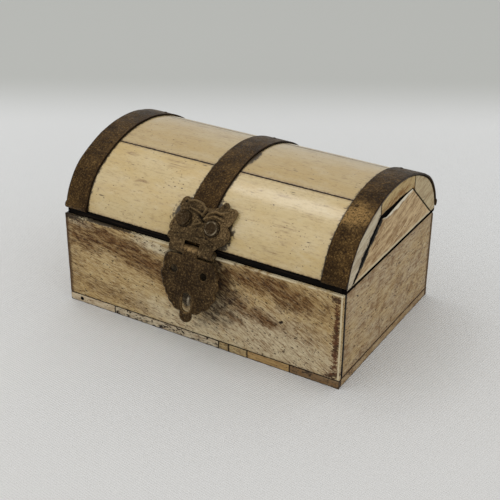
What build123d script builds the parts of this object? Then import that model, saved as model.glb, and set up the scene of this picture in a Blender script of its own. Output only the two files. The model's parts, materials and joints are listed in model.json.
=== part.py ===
from build123d import *

import os
from math import acos, asin, atan2, cos, hypot, radians, sin, sqrt, tan

# A small dome-topped jewelry chest: a wooden box clad in bone plates that are bedded in black lac,
# a domed lid with three brass straps, two butt hinges at the back and a hasp at the front.
# X runs along the front from left to right, Y from front to back and Z up. The origin is the middle
# of the underside. All sizes are in millimetres.

# Overall size
base_length = 102.0
base_depth = 66.4
base_height = 32.5
lid_rise = 23.2  # crown of the straps above the base's top
lid_overhang = 0.2  # how much further than the base the lid reaches at each end
lid_shift = 0.6  # the lid sits this much to the right on its hinges
lid_gap = 0.15  # between the base's top and the closed lid

# Layers, from the outside in
bone = 1.2
bed = 0.3  # lac under the bone
joint = 0.35  # lac between two pieces of bone
lac_recess = 0.12  # how far the lac lies below the bone's face
board = 3.5
bottom_board = 3.2
arris = 0.2  # worn outer edges of the bone
fit = 0.05  # slack between curved layers
overcut = 0.15  # how far a cut runs past the level face that it opens

# Plinth of bone strips; the front one is pieced together
plinth_height = 2.7
left_scrap = 18.6
right_scraps = (17.0, 15.2, 6.7, 3.8)  # from the right end inwards
scrap_joint = 0.2
worn_corner = 1.2
peg_radius = 0.75
peg_from_end = 4.7
peg_length = 4.0

# Lining of the base
lining = 0.8
floor_pad = 1.2
lining_drop = 1.2  # from the base's top down to the lining's edge

# Arch of the lid, a crown arc between two haunch arcs, drawn on the outside of the straps
haunch_radius = 20.6
spring_drop = 1.0  # the haunches stand plumb this far below the base's top
strap = 0.6
stave = 2.6
rim_height = 2.1  # top of the lid's rails above the base's top
rim_inset = 0.15  # rails behind the bone's face
top_row = 13.4  # half the width of the top row of panels, measured across the lid

# Straps
end_strap_width = 8.4
middle_strap_width = 9.0
middle_strap_x = -0.4
strap_lap = 0.3  # end straps past the lid's end plates
lip_radius = 1.3
lip_proud = 0.7
brad_radius = 0.35
brad_head = 0.6
brad_head_height = 0.25
brad_depth = 3.0
brad_across = 15.8  # from the lid's middle line
brad_from_edge = 2.0

# Bone pieces of the lid's ends
end_foot = 1.2  # underside of the end plates above the base's top
centre_foot = 3.4  # foot of the centre plate from the end's outline
centre_top = 11.8  # half the centre plate's top edge
centre_rise = 15.0
front_split = 11.6
rear_split = 13.6
chip_depths = (0.0, 0.15, 0.1, 0.5, 0.35, 0.9)  # broken front edge of the right centre plate
gap_depths = (1.2, 1.7, 1.1, 0.5, 0.1, 0.0)  # broken top edge of the right centre plate
rough_depths = (0.0, 0.3, 0.15, 0.5, 0.2, 0.0)  # broken lower edge of the right top plate

# Hasp
hasp_x = 0.0
hasp_pin_radius = 0.75
hasp_barrel_radius = 1.6
hasp_pin_out = 1.45  # pin in front of the base's face
hasp_pin_up = 1.1  # pin above the base's top
hasp_bore_slack = 0.05
knuckle_half = 7.8
flap_knuckle_half = 2.6
knuckle_gap = 0.15
leaf_thickness = 0.7
leaf_half_width = 10.6
leaf_height = 16.8
ear_hole_radius = 0.45
ear_hole_x = -6.2
ear_hole_up = 14.1
notch_height = 2.6
flap_thickness = 0.8
flap_half_width = 10.4
flap_top = 1.75  # from the pin down to the flap's upper edge
flap_body = 20.0  # from the pin down to where the tab starts
flap_length = 23.6
tab_half = 2.2
flap_hole_radius = 1.25
flap_hole_x = 5.4
flap_hole_drop = 6.9
slot_drop = 16.8
slot_width = 3.3
slot_height = 6.4
flap_tilt = 9.0  # the flap stands off the front by this angle at rest
flap_home_gap = 0.1
nail_places = ((-5.2, 8.9), (5.2, 8.0))  # across, and up from the pin
nail_head_radius = 2.3
nail_head_height = 1.2
nail_radius = 0.55
nail_length = 5.0
nail_slack = 0.02

# Staple
staple_wire = 0.6  # radius of its wire
staple_half = 1.45  # half the distance between its legs
staple_depth = 3.2
staple_tip_gap = 0.12  # between its tip and the flap's back

# Hinges
hinge_from_end = 23.0  # from the base's end to the middle of the hinge
hinge_length = 13.0
hinge_knuckle = 4.2  # length of the middle knuckle
hinge_barrel_radius = 1.3
hinge_pin_radius = 0.6
hinge_leaf = 3.2  # from the axis to the leaf's front edge
hinge_leaf_thickness = 0.7
hinge_clearance = 0.2
hinge_slack = 0.05
hinge_nail_x = 4.4
hinge_nail_back = 0.9  # nails from the leaf's front edge
hinge_nail_radius = 0.35
hinge_nail_head = 0.6
hinge_nail_head_height = 0.3
hinge_nail_length = 1.8
opening_angle = 100.0
stop_clearance = 0.5

# Places worked out from the sizes
half_length = base_length / 2
half_depth = base_depth / 2
cover = bone + bed
carcass_x = half_length - cover
carcass_y = half_depth - cover
inner_x = carcass_x - board
inner_y = carcass_y - board

seam = base_height + lid_gap
rim_top = base_height + rim_height
lid_left = lid_shift - half_length - lid_overhang
lid_right = lid_shift + half_length + lid_overhang
face_left = lid_left + strap_lap
face_right = lid_right - strap_lap
wood_left = face_left + cover
wood_right = face_right - cover

haunch_y = half_depth - haunch_radius
spring_z = base_height - spring_drop
apex_z = base_height + lid_rise
arch_height = apex_z - spring_z
crown_radius = (haunch_y**2 + arch_height**2 - haunch_radius**2) / (2 * (arch_height - haunch_radius))
crown_z = apex_z - crown_radius
haunch_end = atan2(spring_z - crown_z, haunch_y)  # where haunch meets crown, from the horizontal

panel_inset = strap + fit
panel_back = panel_inset + bone
stave_inset = panel_back + bed
stave_back = stave_inset + stave
lining_inset = stave_back + fit
row_angle = asin(top_row / (crown_radius - panel_inset))
rail_face = half_depth - strap - rim_inset
rail_back = half_depth - lining_inset

pin_y = -half_depth - hasp_pin_out
pin_z = base_height + hasp_pin_up
flap_back = hasp_barrel_radius - flap_thickness
leaf_radius = haunch_radius + fit + leaf_thickness
reach_y = pin_y + haunch_y
reach_z = pin_z - spring_z
lean = atan2(reach_z, reach_y) - acos((leaf_radius - hasp_barrel_radius) / hypot(reach_y, reach_z))
leaf_out = Vector(0, cos(lean), sin(lean))
leaf_up = Vector(0, sin(lean), -cos(lean))
leaf_straight = sqrt(hypot(reach_y, reach_z) ** 2 - (leaf_radius - hasp_barrel_radius) ** 2)
hasp_pin = Vector(hasp_x, pin_y, pin_z)

home_angle = asin((hasp_pin_out - flap_home_gap + flap_back) / flap_length)
staple_z = pin_z - slot_drop * cos(home_angle)
tilt = radians(flap_tilt)
staple_reach = hasp_pin_out + slot_drop * sin(tilt) + flap_back * cos(tilt) - staple_tip_gap

hinge_x = half_length - hinge_from_end
axis_y = half_depth - hinge_barrel_radius
axis_z = base_height + lid_gap / 2
bevel = radians(opening_angle / 2 + stop_clearance)
past = 5.0  # how far cutting shapes run past what they cut


def block(x_range, y_range, z_range):
    """A box between two corners, given as three ranges."""
    spans = (x_range, y_range, z_range)
    middle = Pos(*[(low + high) / 2 for low, high in spans])
    return middle * Box(*[high - low for low, high in spans])


def rod(radius, start, direction, length):
    """A round bar from a point, along a direction."""
    upright = Cylinder(radius, length, align=(Align.CENTER, Align.CENTER, Align.MIN))
    return Plane(origin=start, z_dir=direction) * upright


def along_x(edges, x_range):
    """A section drawn in Y and Z, drawn out along X."""
    section = Pos(x_range[0], 0, 0) * make_face(edges)
    return extrude(section, amount=x_range[1] - x_range[0], dir=(1, 0, 0))


def prism(points, x_range):
    """A section with straight sides, given by its (y, z) corners, drawn out along X."""
    corners = [(0, y, z) for y, z in points]
    return along_x(Polyline(*corners, close=True).edges(), x_range)


def group(pieces):
    """Several separate pieces that share one node."""
    return Compound([solid for piece in pieces for solid in piece.solids()])


def haunch_point(inset, angle, side):
    """A point of the front (side -1) or rear haunch arc, at an angle from the horizontal."""
    radius = haunch_radius - inset
    return (0, side * (haunch_y + radius * cos(angle)), spring_z + radius * sin(angle))


def arch(inset, low, x_range):
    """The lid's arch, inset from the straps' outside, cut off level at low and drawn out along X."""
    foot = asin((low - spring_z) / (haunch_radius - inset))
    halfway = (foot + haunch_end) / 2
    edges = [Line(haunch_point(inset, foot, -1), haunch_point(inset, foot, 1))]
    for side in (-1, 1):
        places = [haunch_point(inset, angle, side) for angle in (foot, halfway, haunch_end)]
        edges.append(ThreePointArc(*places))
    crown_ends = [haunch_point(inset, haunch_end, side) for side in (-1, 1)]
    edges.append(ThreePointArc(crown_ends[0], (0, 0, apex_z - inset), crown_ends[1]))
    return along_x(edges, x_range)


def arch_shell(outer, inner, low, x_range):
    """The part of the arch between two insets."""
    longer = (x_range[0] - past, x_range[1] + past)
    return arch(outer, low, x_range) - arch(inner, low - overcut, longer)


def top_wedge(shrink):
    """The space of the top row, between two planes through the crown's centre, drawn in by shrink."""
    tip = crown_z + shrink / sin(row_angle)
    top = apex_z + past
    half = (top - tip) * tan(row_angle)
    return prism([(0, tip), (half, top), (-half, top)], (lid_left - past, lid_right + past))


def rows(shell, gap):
    """The front, top and rear rows of a shell, with a gap between them."""
    top = shell & top_wedge(gap / 2)
    sides = (shell - top_wedge(-gap / 2)).solids().sort_by(Axis.Y)
    return {"front": Part() + sides[0], "top": top, "rear": Part() + sides[-1]}


def worn(plate, axis, end):
    """A plate with the edges of its outer face eased."""
    outer = plate.faces().sort_by(axis)[end]
    return fillet(outer.edges(), arris)


def dome(radius, height):
    """A nail's round head, standing on the origin."""
    ball = (radius**2 + height**2) / (2 * height)
    return Pos(0, 0, height - ball) * Sphere(ball) & Pos(0, 0, ball) * Box(2 * ball, 2 * ball, 2 * ball)


# Base: boards

z_walls = (bottom_board, base_height)
boards = {
    "board_bottom": block((-carcass_x, carcass_x), (-carcass_y, carcass_y), (0, bottom_board)),
    "board_front": block((-carcass_x, carcass_x), (-carcass_y, -inner_y), z_walls),
    "board_back": block((-carcass_x, carcass_x), (inner_y, carcass_y), z_walls),
    "board_left": block((-carcass_x, -inner_x), (-inner_y, inner_y), z_walls),
    "board_right": block((inner_x, carcass_x), (-inner_y, inner_y), z_walls),
}

# Base: bone plates; the front and back ones cover the ends of the side ones

z_plates = (plinth_height + joint, base_height)
front_y = (-half_depth, bone - half_depth)
back_y = (half_depth - bone, half_depth)
left_x = (-half_length, bone - half_length)
right_x = (half_length - bone, half_length)
full_x = (-half_length, half_length)
side_y = (joint + bone - half_depth, half_depth - bone - joint)


def cladding(z_range):
    """The back, left and right pieces of bone between two heights, with worn edges."""
    return {
        "back": worn(block(full_x, back_y, z_range), Axis.Y, -1),
        "left": worn(block(left_x, side_y, z_range), Axis.X, 0),
        "right": worn(block(right_x, side_y, z_range), Axis.X, -1),
    }


plates = {"bone_" + side: plate for side, plate in cladding(z_plates).items()}
plates["bone_front"] = worn(block(full_x, front_y, z_plates), Axis.Y, 0)

# Base: plinth strips

z_plinth = (0, plinth_height)


def front_strip():
    """The front strip's scraps, from left to right."""
    joints = [left_scrap - half_length]
    joints += [half_length - sum(right_scraps[: n + 1]) for n in reversed(range(len(right_scraps)))]
    starts = [-half_length] + [place + scrap_joint / 2 for place in joints]
    ends = [place - scrap_joint / 2 for place in joints] + [half_length]
    scraps = [block(span, front_y, z_plinth) for span in zip(starts, ends)]
    for place in (0, -1):
        corner = scraps[place].edges().filter_by(Axis.Y).group_by(Axis.Z)[0].sort_by(Axis.X)[place]
        scraps[place] = fillet(corner, worn_corner)
    return [worn(scrap, Axis.Y, 0) for scrap in scraps]


peg = rod(peg_radius, (peg_from_end - half_length, -half_depth, plinth_height / 2), (0, 1, 0), peg_length)
scraps = front_strip()
scraps[0] = scraps[0] - peg
strips = {"plinth_" + side: strip for side, strip in cladding(z_plinth).items()}
strips["plinth_front"] = group(scraps)
boards["board_bottom"] -= peg

# Base: lac, wherever there is neither wood nor bone

lac_x = half_length - lac_recess
lac_y = half_depth - lac_recess
lac_base = block((-lac_x, lac_x), (-lac_y, lac_y), (0, base_height))
lac_base -= block((-carcass_x, carcass_x), (-carcass_y, carcass_y), (0, base_height))
lac_base -= [*plates.values(), *strips.values(), peg]

# Base: lining

floor_x = inner_x - fit
floor_y = inner_y - fit
z_lining = (bottom_board + floor_pad, base_height - lining_drop)
lining_floor = block((-floor_x, floor_x), (-floor_y, floor_y), (bottom_board, bottom_board + floor_pad))
lining_walls = block((-floor_x, floor_x), (-floor_y, floor_y), z_lining) - block(
    (lining - floor_x, floor_x - lining), (lining - floor_y, floor_y - lining), z_lining
)

# Staple, a loop of wire whose legs stand one above the other

leg_start = staple_depth - half_depth
bend_y = -half_depth - staple_reach + staple_wire + staple_half


def staple_loop(wire):
    """The staple, or with a thicker wire the holes for its legs."""
    lower = (hasp_x, bend_y, staple_z - staple_half)
    upper = (hasp_x, bend_y, staple_z + staple_half)
    nose = (hasp_x, bend_y - staple_half, staple_z)
    start = (hasp_x, leg_start, staple_z - staple_half)
    end = (hasp_x, leg_start, staple_z + staple_half)
    path = Wire([Line(start, lower), ThreePointArc(lower, nose, upper), Line(upper, end)])
    return sweep(Plane(origin=start, z_dir=(0, -1, 0)) * Circle(wire), path=path)


staple = staple_loop(staple_wire)
staple_holes = staple_loop(staple_wire + nail_slack)
plates["bone_front"] -= staple_holes
boards["board_front"] -= staple_holes
lac_base -= staple_holes

# Lid: rails

z_rails = (seam, rim_top)
rail_end_left = wood_left + board
rail_end_right = wood_right - board
rails = {
    "lid_rim_front": block((wood_left, wood_right), (-rail_face, -rail_back), z_rails),
    "lid_rim_back": block((wood_left, wood_right), (rail_back, rail_face), z_rails),
    "lid_rim_left": block((wood_left, rail_end_left), (-rail_back, rail_back), z_rails),
    "lid_rim_right": block((rail_end_right, wood_right), (-rail_back, rail_back), z_rails),
}

# Lid: end boards, staves and bone panels

wood_range = (wood_left, wood_right)
ends = {
    "lid_end_left": arch(lining_inset, rim_top, (wood_left, rail_end_left)),
    "lid_end_right": arch(lining_inset, rim_top, (rail_end_right, wood_right)),
}
staves = rows(arch_shell(stave_inset, stave_back, rim_top, wood_range), fit)
staves = {"lid_stave_" + row: stave_piece for row, stave_piece in staves.items()}
bays = {
    "left": (wood_left, middle_strap_x - joint / 2),
    "right": (middle_strap_x + joint / 2, wood_right),
}
panels = {}
for bay, span in bays.items():
    for row, panel in rows(arch_shell(panel_inset, panel_back, rim_top, span), joint).items():
        panels["lid_bone_" + row + "_" + bay] = panel

# Lid: bone pieces of the ends. Outlines are (y, z) corners, from the front foot over the top.

end_low = base_height + end_foot
end_inset = strap + joint
end_half = haunch_point(end_inset, asin((end_low - spring_z) / (haunch_radius - end_inset)), 1)[1]
centre_half = end_half - centre_foot
centre_z = end_low + centre_rise


def broken_line(start, end, depths):
    """Evenly spaced points from start to end, each moved to the right of the line by its depth."""
    run = Vector(*end) - Vector(*start)
    off = Vector(run.Y, -run.X).normalized()
    steps = len(depths) - 1
    places = [Vector(*start) + run * (n / steps) + off * depth for n, depth in enumerate(depths)]
    return [(place.X, place.Y) for place in places]


def end_pieces(face_x, inward, chips, gaps, rough):
    """The four bone pieces of one end, with the depths of the broken edges."""
    span = sorted((face_x, face_x + inward * bone))
    outline = arch(end_inset, end_low, span)
    front_foot = (-centre_half, end_low)
    front_shoulder = (-centre_top, centre_z)
    rear_shoulder = (centre_top, centre_z)
    edge = broken_line(front_foot, front_shoulder, chips)
    edge += broken_line(front_shoulder, rear_shoulder, gaps)[1:]
    centre = prism(edge + [(centre_half, end_low)], span)
    slant = hypot(centre_half - centre_top, centre_rise)
    spread = joint * slant / centre_rise
    shoulder = joint * (slant - (centre_half - centre_top)) / centre_rise
    low = end_low - overcut
    drift = spread + overcut * (centre_half - centre_top) / centre_rise
    window = [(-centre_half - drift, low)]
    top_start = (-centre_top - shoulder, centre_z + joint)
    top_end = (centre_top + shoulder, centre_z + joint)
    window += broken_line(top_start, top_end, [-depth for depth in rough])
    window += [(centre_half + drift, low)]
    border = outline - prism(window, span)
    z_all = (low, apex_z + past)
    front_zone = block(span, (-half_depth, -front_split), z_all)
    top_zone = block(span, (joint - front_split, rear_split - joint), z_all)
    rear_zone = block(span, (rear_split, half_depth), z_all)
    zones = {"front": front_zone, "top": top_zone, "rear": rear_zone}
    pieces = {name: border & zone for name, zone in zones.items()}
    return {**pieces, "centre": centre}


straight = (0.0, 0.0)
mosaics = {}
for name, piece in end_pieces(face_left, 1, straight, straight, straight).items():
    mosaics["end_left_" + name] = piece
for name, piece in end_pieces(face_right, -1, chip_depths, gap_depths, rough_depths).items():
    mosaics["end_right_" + name] = piece

# Lid: lac, in the joints and under the bone

lac_left = face_left + lac_recess
lac_right = face_right - lac_recess
lid_lac = arch(panel_inset + lac_recess, rim_top, wood_range)
lid_lac += arch(panel_inset + lac_recess, seam, (lac_left, wood_left))
lid_lac += arch(panel_inset + lac_recess, seam, (wood_right, lac_right))
lid_lac -= arch(stave_inset, rim_top, wood_range)
lid_lac -= [*panels.values(), *mosaics.values()]

# Lid: straps with their rolled lips, and their brads


def strap_band(x_range, lips):
    """One strap over the lid; the end straps have a rolled lip at each foot."""
    band = arch_shell(0, strap, rim_top, x_range)
    if lips:
        deep = haunch_radius - lip_radius + lip_proud
        angle = asin((rim_top + lip_radius - spring_z) / deep)
        for side in (-1, 1):
            middle = (x_range[0], side * (haunch_y + deep * cos(angle)), spring_z + deep * sin(angle))
            band += rod(lip_radius, middle, (1, 0, 0), x_range[1] - x_range[0])
        band -= arch(strap, seam, (x_range[0] - past, x_range[1] + past))
    return band


straps = {
    "strap_left": strap_band((lid_left, lid_left + end_strap_width), True),
    "strap_middle": strap_band(
        (middle_strap_x - middle_strap_width / 2, middle_strap_x + middle_strap_width / 2), False
    ),
    "strap_right": strap_band((lid_right - end_strap_width, lid_right), True),
}
brad_columns = (
    lid_left + end_strap_width - brad_from_edge,
    middle_strap_x,
    lid_right - end_strap_width + brad_from_edge,
)
brad_angle = asin(brad_across / crown_radius)


def brads(slack):
    """All the straps' brads, or with slack the holes for their shanks."""
    pieces = []
    for x in brad_columns:
        for side in (-1, 1):
            outward = Vector(0, side * sin(brad_angle), cos(brad_angle))
            seat = Vector(x, 0, crown_z) + outward * crown_radius
            pieces.append(rod(brad_radius + slack, seat, -outward, brad_depth))
            if slack == 0:
                pieces[-1] += Plane(origin=seat, z_dir=outward) * dome(brad_head, brad_head_height)
    return pieces


strap_brads = group(brads(0))
brad_holes = brads(nail_slack)

# Hasp: leaf, which lies back against the lid and bends over it above its nails


def scalloped(stretches):
    """A closed outline from (x, y, swell) corners, anticlockwise. Between a corner and the next the
    edge swells outwards by that share of the distance, or runs straight where swell is zero."""
    edges = []
    for (x, y, swell), following in zip(stretches, stretches[1:] + stretches[:1]):
        start = Vector(x, y)
        end = Vector(following[0], following[1])
        run = end - start
        crest = (start + end) / 2 + Vector(run.Y, -run.X) * swell
        edges.append(ThreePointArc(start, crest, end) if swell else Line(start, end))
    return make_face(edges)


def leaf_outline():
    """The leaf seen square on; Y runs up from the pin. Above its barrel the corners are shares of
    its half width and height: right cheek, right ear, curl, brow, left ear and left cheek."""
    corners = [
        (0.87, 0.19, 0.1),
        (1.06, 0.31, 0.22),
        (0.95, 0.57, 0.1),
        (1.1, 0.73, 0.1),
        (1.12, 0.88, 0.2),
        (0.85, 0.91, 0),
        (0.75, 0.98, 0.3),
        (0.6, 0.98, 0),
        (0.53, 0.9, -0.12),
        (0.08, 0.83, 0.18),
        (-0.46, 0.88, 0.35),
        (-0.74, 0.87, 0.12),
        (-0.68, 0.66, 0.05),
        (-0.9, 0.36, 0.15),
        (-0.84, 0.26, 0.12),
        (-0.88, 0.15, 0.1),
    ]
    edge = [(knuckle_half, -hasp_barrel_radius, 0), (knuckle_half, hasp_barrel_radius, 0)]
    edge += [(x * leaf_half_width, y * leaf_height, swell) for x, y, swell in corners]
    edge += [(-knuckle_half, hasp_barrel_radius, 0), (-knuckle_half, -hasp_barrel_radius, 0)]
    return scalloped(edge) - Pos(ear_hole_x, ear_hole_up) * Circle(ear_hole_radius)


def leaf_profile(x_range):
    """The leaf's side view: a straight stretch from the barrel, then an arc round the haunch."""
    centre = Vector(0, -haunch_y, spring_z)
    inner_radius = leaf_radius - leaf_thickness
    turn = asin((leaf_height - leaf_straight + leaf_thickness) / leaf_radius)

    def place(radius, angle):
        return centre + Vector(0, cos(angle), sin(angle)) * radius

    foot = Vector(0, pin_y, pin_z) + leaf_out * hasp_barrel_radius
    foot_back = foot - leaf_out * leaf_thickness
    edges = [
        Line(foot, place(leaf_radius, lean)),
        ThreePointArc(*[place(leaf_radius, lean - turn * share) for share in (0, 0.5, 1)]),
        Line(place(leaf_radius, lean - turn), place(inner_radius, lean - turn)),
        ThreePointArc(*[place(inner_radius, lean - turn * share) for share in (1, 0.5, 0)]),
        Line(place(inner_radius, lean), foot_back),
        Line(foot_back, foot),
    ]
    return along_x(edges, x_range)


leaf_plane = Plane(origin=hasp_pin, x_dir=(1, 0, 0), z_dir=leaf_out)
leaf_range = (hasp_x - leaf_half_width - past, hasp_x + leaf_half_width + past)
barrel = rod(hasp_barrel_radius, hasp_pin - Vector(knuckle_half, 0, 0), (1, 0, 0), 2 * knuckle_half)
outline_block = extrude(leaf_plane * leaf_outline(), amount=2 * past, both=True)
hasp_leaf = (leaf_profile(leaf_range) & outline_block) + barrel
notch_half = flap_knuckle_half + knuckle_gap
notch_box = Box(2 * notch_half, notch_height + past, 2 * past)
notch = leaf_plane * Pos(0, (notch_height - past) / 2, 0) * notch_box
bore_start = hasp_pin - Vector(knuckle_half + past, 0, 0)
hasp_bore = rod(hasp_pin_radius + hasp_bore_slack, bore_start, (1, 0, 0), 2 * (knuckle_half + past))
hasp_leaf = hasp_leaf - notch - hasp_bore
hasp_pin_rod = rod(hasp_pin_radius, hasp_pin - Vector(knuckle_half, 0, 0), (1, 0, 0), 2 * knuckle_half)


def hasp_nail(across, up, slack):
    """One of the leaf's nails, or with slack the hole for its shank."""
    seat = hasp_pin + Vector(across, 0, 0) + leaf_up * up + leaf_out * hasp_barrel_radius
    shank = rod(nail_radius + slack, seat, -leaf_out, nail_length)
    if slack:
        return shank
    return shank + Plane(origin=seat, z_dir=leaf_out) * dome(nail_head_radius, nail_head_height)


hasp_nails = group([hasp_nail(*place, 0) for place in nail_places])
hasp_nail_holes = [hasp_nail(*place, nail_slack) for place in nail_places]
hasp_leaf -= hasp_nail_holes

# Hasp: flap, drawn hanging plumb from the pin and then swung out to its rest


def flap_outline():
    """The flap seen square on; Y runs up, so the flap hangs below zero. Its corners, down the left
    side to the tab and up the right side, are shares of its half width and of its body."""
    top = flap_top / flap_body
    left = [
        (-0.68, top, 0.15),
        (-0.88, 0.22, 0.07),
        (-0.88, 0.36, 0.22),
        (-0.88, 0.56, 0.18),
        (-0.78, 0.71, 0.15),
        (-0.66, 0.82, 0.18),
        (-0.5, 0.93, 0.2),
    ]
    right = [
        (0.54, 0.91, 0.2),
        (0.83, 0.76, 0.2),
        (0.96, 0.56, 0.2),
        (1.0, 0.36, 0.15),
        (0.95, 0.19, 0.15),
        (0.78, top, 0),
    ]
    tab_end = tab_half - flap_length
    edge = [(x * flap_half_width, -y * flap_body, swell) for x, y, swell in left]
    edge += [(-tab_half, -flap_body, 0), (-tab_half, tab_end, 0.5), (tab_half, tab_end, 0)]
    edge += [(tab_half, -flap_body, 0.2)]
    edge += [(x * flap_half_width, -y * flap_body, swell) for x, y, swell in right]
    outline = scalloped(edge) - Pos(0, -slot_drop) * SlotOverall(slot_height, slot_width, rotation=90)
    for side in (-1, 1):
        outline -= Pos(side * flap_hole_x, -flap_hole_drop) * Circle(flap_hole_radius)
    return outline


def flap():
    """The flap with its knuckle, swung out to where it rests."""
    front = Plane(origin=(0, -flap_back, 0), x_dir=(1, 0, 0), z_dir=(0, -1, 0))
    plate = extrude(front * flap_outline(), amount=flap_thickness)
    knuckle = (-flap_knuckle_half, flap_knuckle_half)
    plate += block(knuckle, (-hasp_barrel_radius, -flap_back), (-flap_top - flap_thickness, 0))
    plate += rod(hasp_barrel_radius, (knuckle[0], 0, 0), (1, 0, 0), 2 * flap_knuckle_half)
    bore_start = (2 * knuckle[0], 0, 0)
    plate -= rod(hasp_pin_radius + hasp_bore_slack, bore_start, (1, 0, 0), 4 * flap_knuckle_half)
    return Pos(*hasp_pin) * Rot(-flap_tilt, 0, 0) * plate


hasp_flap = flap()

# Holes for brads and nails in what they go through

for layer in (straps, panels, staves):
    for name in layer:
        layer[name] -= [*brad_holes, *hasp_nail_holes]
lid_lac -= [*brad_holes, *hasp_nail_holes]

# Hinges, let into the base's top and the lid's rail

hinge_half = hinge_length / 2
middle_half = hinge_knuckle / 2
leaf_front = axis_y - hinge_leaf
leaf_z = {
    "base": (base_height - hinge_leaf_thickness, base_height),
    "lid": (seam, seam + hinge_leaf_thickness),
}


def hinge_rod(radius, x, reach):
    """A bar on a hinge's axis, reaching as far to each side of the hinge's middle."""
    return rod(radius, (x - reach, axis_y, axis_z), (1, 0, 0), 2 * reach)


def hinge_nail(x, up, slack):
    """One hinge nail with its sunk head, driven up or down, or with slack its hole."""
    seat = (x, leaf_front + hinge_nail_back, seam if up > 0 else base_height)
    shank = rod(hinge_nail_radius + slack, seat, (0, 0, up), hinge_nail_length)
    return shank + rod(hinge_nail_head + slack, seat, (0, 0, up), hinge_nail_head_height)


def hinge_leaf_piece(x, z_range, spans, up):
    """One leaf of a hinge; spans are the stretches where its knuckles are."""
    leaf = block((x - hinge_half, x + hinge_half), (leaf_front, axis_y), z_range)
    leaf -= hinge_rod(hinge_barrel_radius + hinge_clearance, x, hinge_length)
    for low, high in spans:
        leaf += block((x + low, x + high), (leaf_front + hinge_nail_back, axis_y), z_range)
        leaf += rod(hinge_barrel_radius, (x + low, axis_y, axis_z), (1, 0, 0), high - low)
    leaf -= hinge_rod(hinge_pin_radius + hinge_slack, x, hinge_length)
    return leaf - [hinge_nail(x + side * hinge_nail_x, up, nail_slack) for side in (-1, 1)]


outer_spans = [(-hinge_half, -middle_half - hinge_clearance), (middle_half + hinge_clearance, hinge_half)]
middle_span = [(-middle_half, middle_half)]
hinges = {}
base_nails = []
lid_nails = []
recesses = []
for side_name, x in (("left", -hinge_x), ("right", hinge_x)):
    hinges["hinge_" + side_name + "_base_leaf"] = hinge_leaf_piece(x, leaf_z["base"], outer_spans, -1)
    hinges["hinge_" + side_name + "_lid_leaf"] = hinge_leaf_piece(x, leaf_z["lid"], middle_span, 1)
    hinges["hinge_" + side_name + "_pin"] = hinge_rod(hinge_pin_radius, x, hinge_half)
    base_nails += [hinge_nail(x + side * hinge_nail_x, -1, 0) for side in (-1, 1)]
    lid_nails += [hinge_nail(x + side * hinge_nail_x, 1, 0) for side in (-1, 1)]
    recess_half = hinge_half + hinge_clearance
    recess_y = (leaf_front - hinge_clearance, axis_y)
    recess = block((x - recess_half, x + recess_half), recess_y, (leaf_z["base"][0], leaf_z["lid"][1]))
    recesses.append(recess + hinge_rod(hinge_barrel_radius + hinge_clearance, x, recess_half))
hinges["hinge_nails_base"] = group(base_nails)
hinges["hinge_nails_lid"] = group(lid_nails)

# The rear edges are bevelled, so the lid stops when the bevels meet

drop = past * tan(bevel)
whole = (lid_left - past, lid_right + past)
base_bevel = prism([(axis_y, axis_z), (axis_y + past, axis_z), (axis_y + past, axis_z - drop)], whole)
lid_bevel = prism([(axis_y, axis_z), (axis_y + past, axis_z), (axis_y + past, axis_z + drop)], whole)
nail_holes = [
    hinge_nail(x + side * hinge_nail_x, up, nail_slack)
    for x in (-hinge_x, hinge_x) for side in (-1, 1) for up in (-1, 1)
]
boards["board_back"] -= [*recesses, *nail_holes]
plates["bone_back"] -= [*recesses, base_bevel]
lac_base -= [*recesses, base_bevel]
rails["lid_rim_back"] -= [*recesses, *nail_holes, lid_bevel]
lid_lac -= lid_bevel

# Lid: lining

lining_x = (rail_end_left + fit, rail_end_right - fit)
hollow_x = (lining_x[0] + lining, lining_x[1] - lining)
lining_low = seam + lining
lid_lining = arch(lining_inset, lining_low, lining_x)
lid_lining -= arch(lining_inset + lining, lining_low - overcut, hollow_x)

nodes = {
    **boards, **plates, **strips, **rails, **ends, **staves, **panels, **mosaics, **straps, **hinges,
    "plinth_peg": peg,
    "lac_base": lac_base,
    "lining_floor": lining_floor,
    "lining_walls": lining_walls,
    "staple": staple,
    "lid_lac": lid_lac,
    "lid_lining": lid_lining,
    "strap_brads": strap_brads,
    "hasp_leaf": hasp_leaf,
    "hasp_nails": hasp_nails,
    "hasp_pin": hasp_pin_rod,
    "hasp_flap": hasp_flap,
}
os.makedirs("parts", exist_ok=True)
for name, shape in nodes.items():
    export_step(shape, "parts/" + name + ".step")
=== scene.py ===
import functools
import json
import math

import bpy
import numpy as np
from mathutils import Matrix, Vector, kdtree


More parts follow.
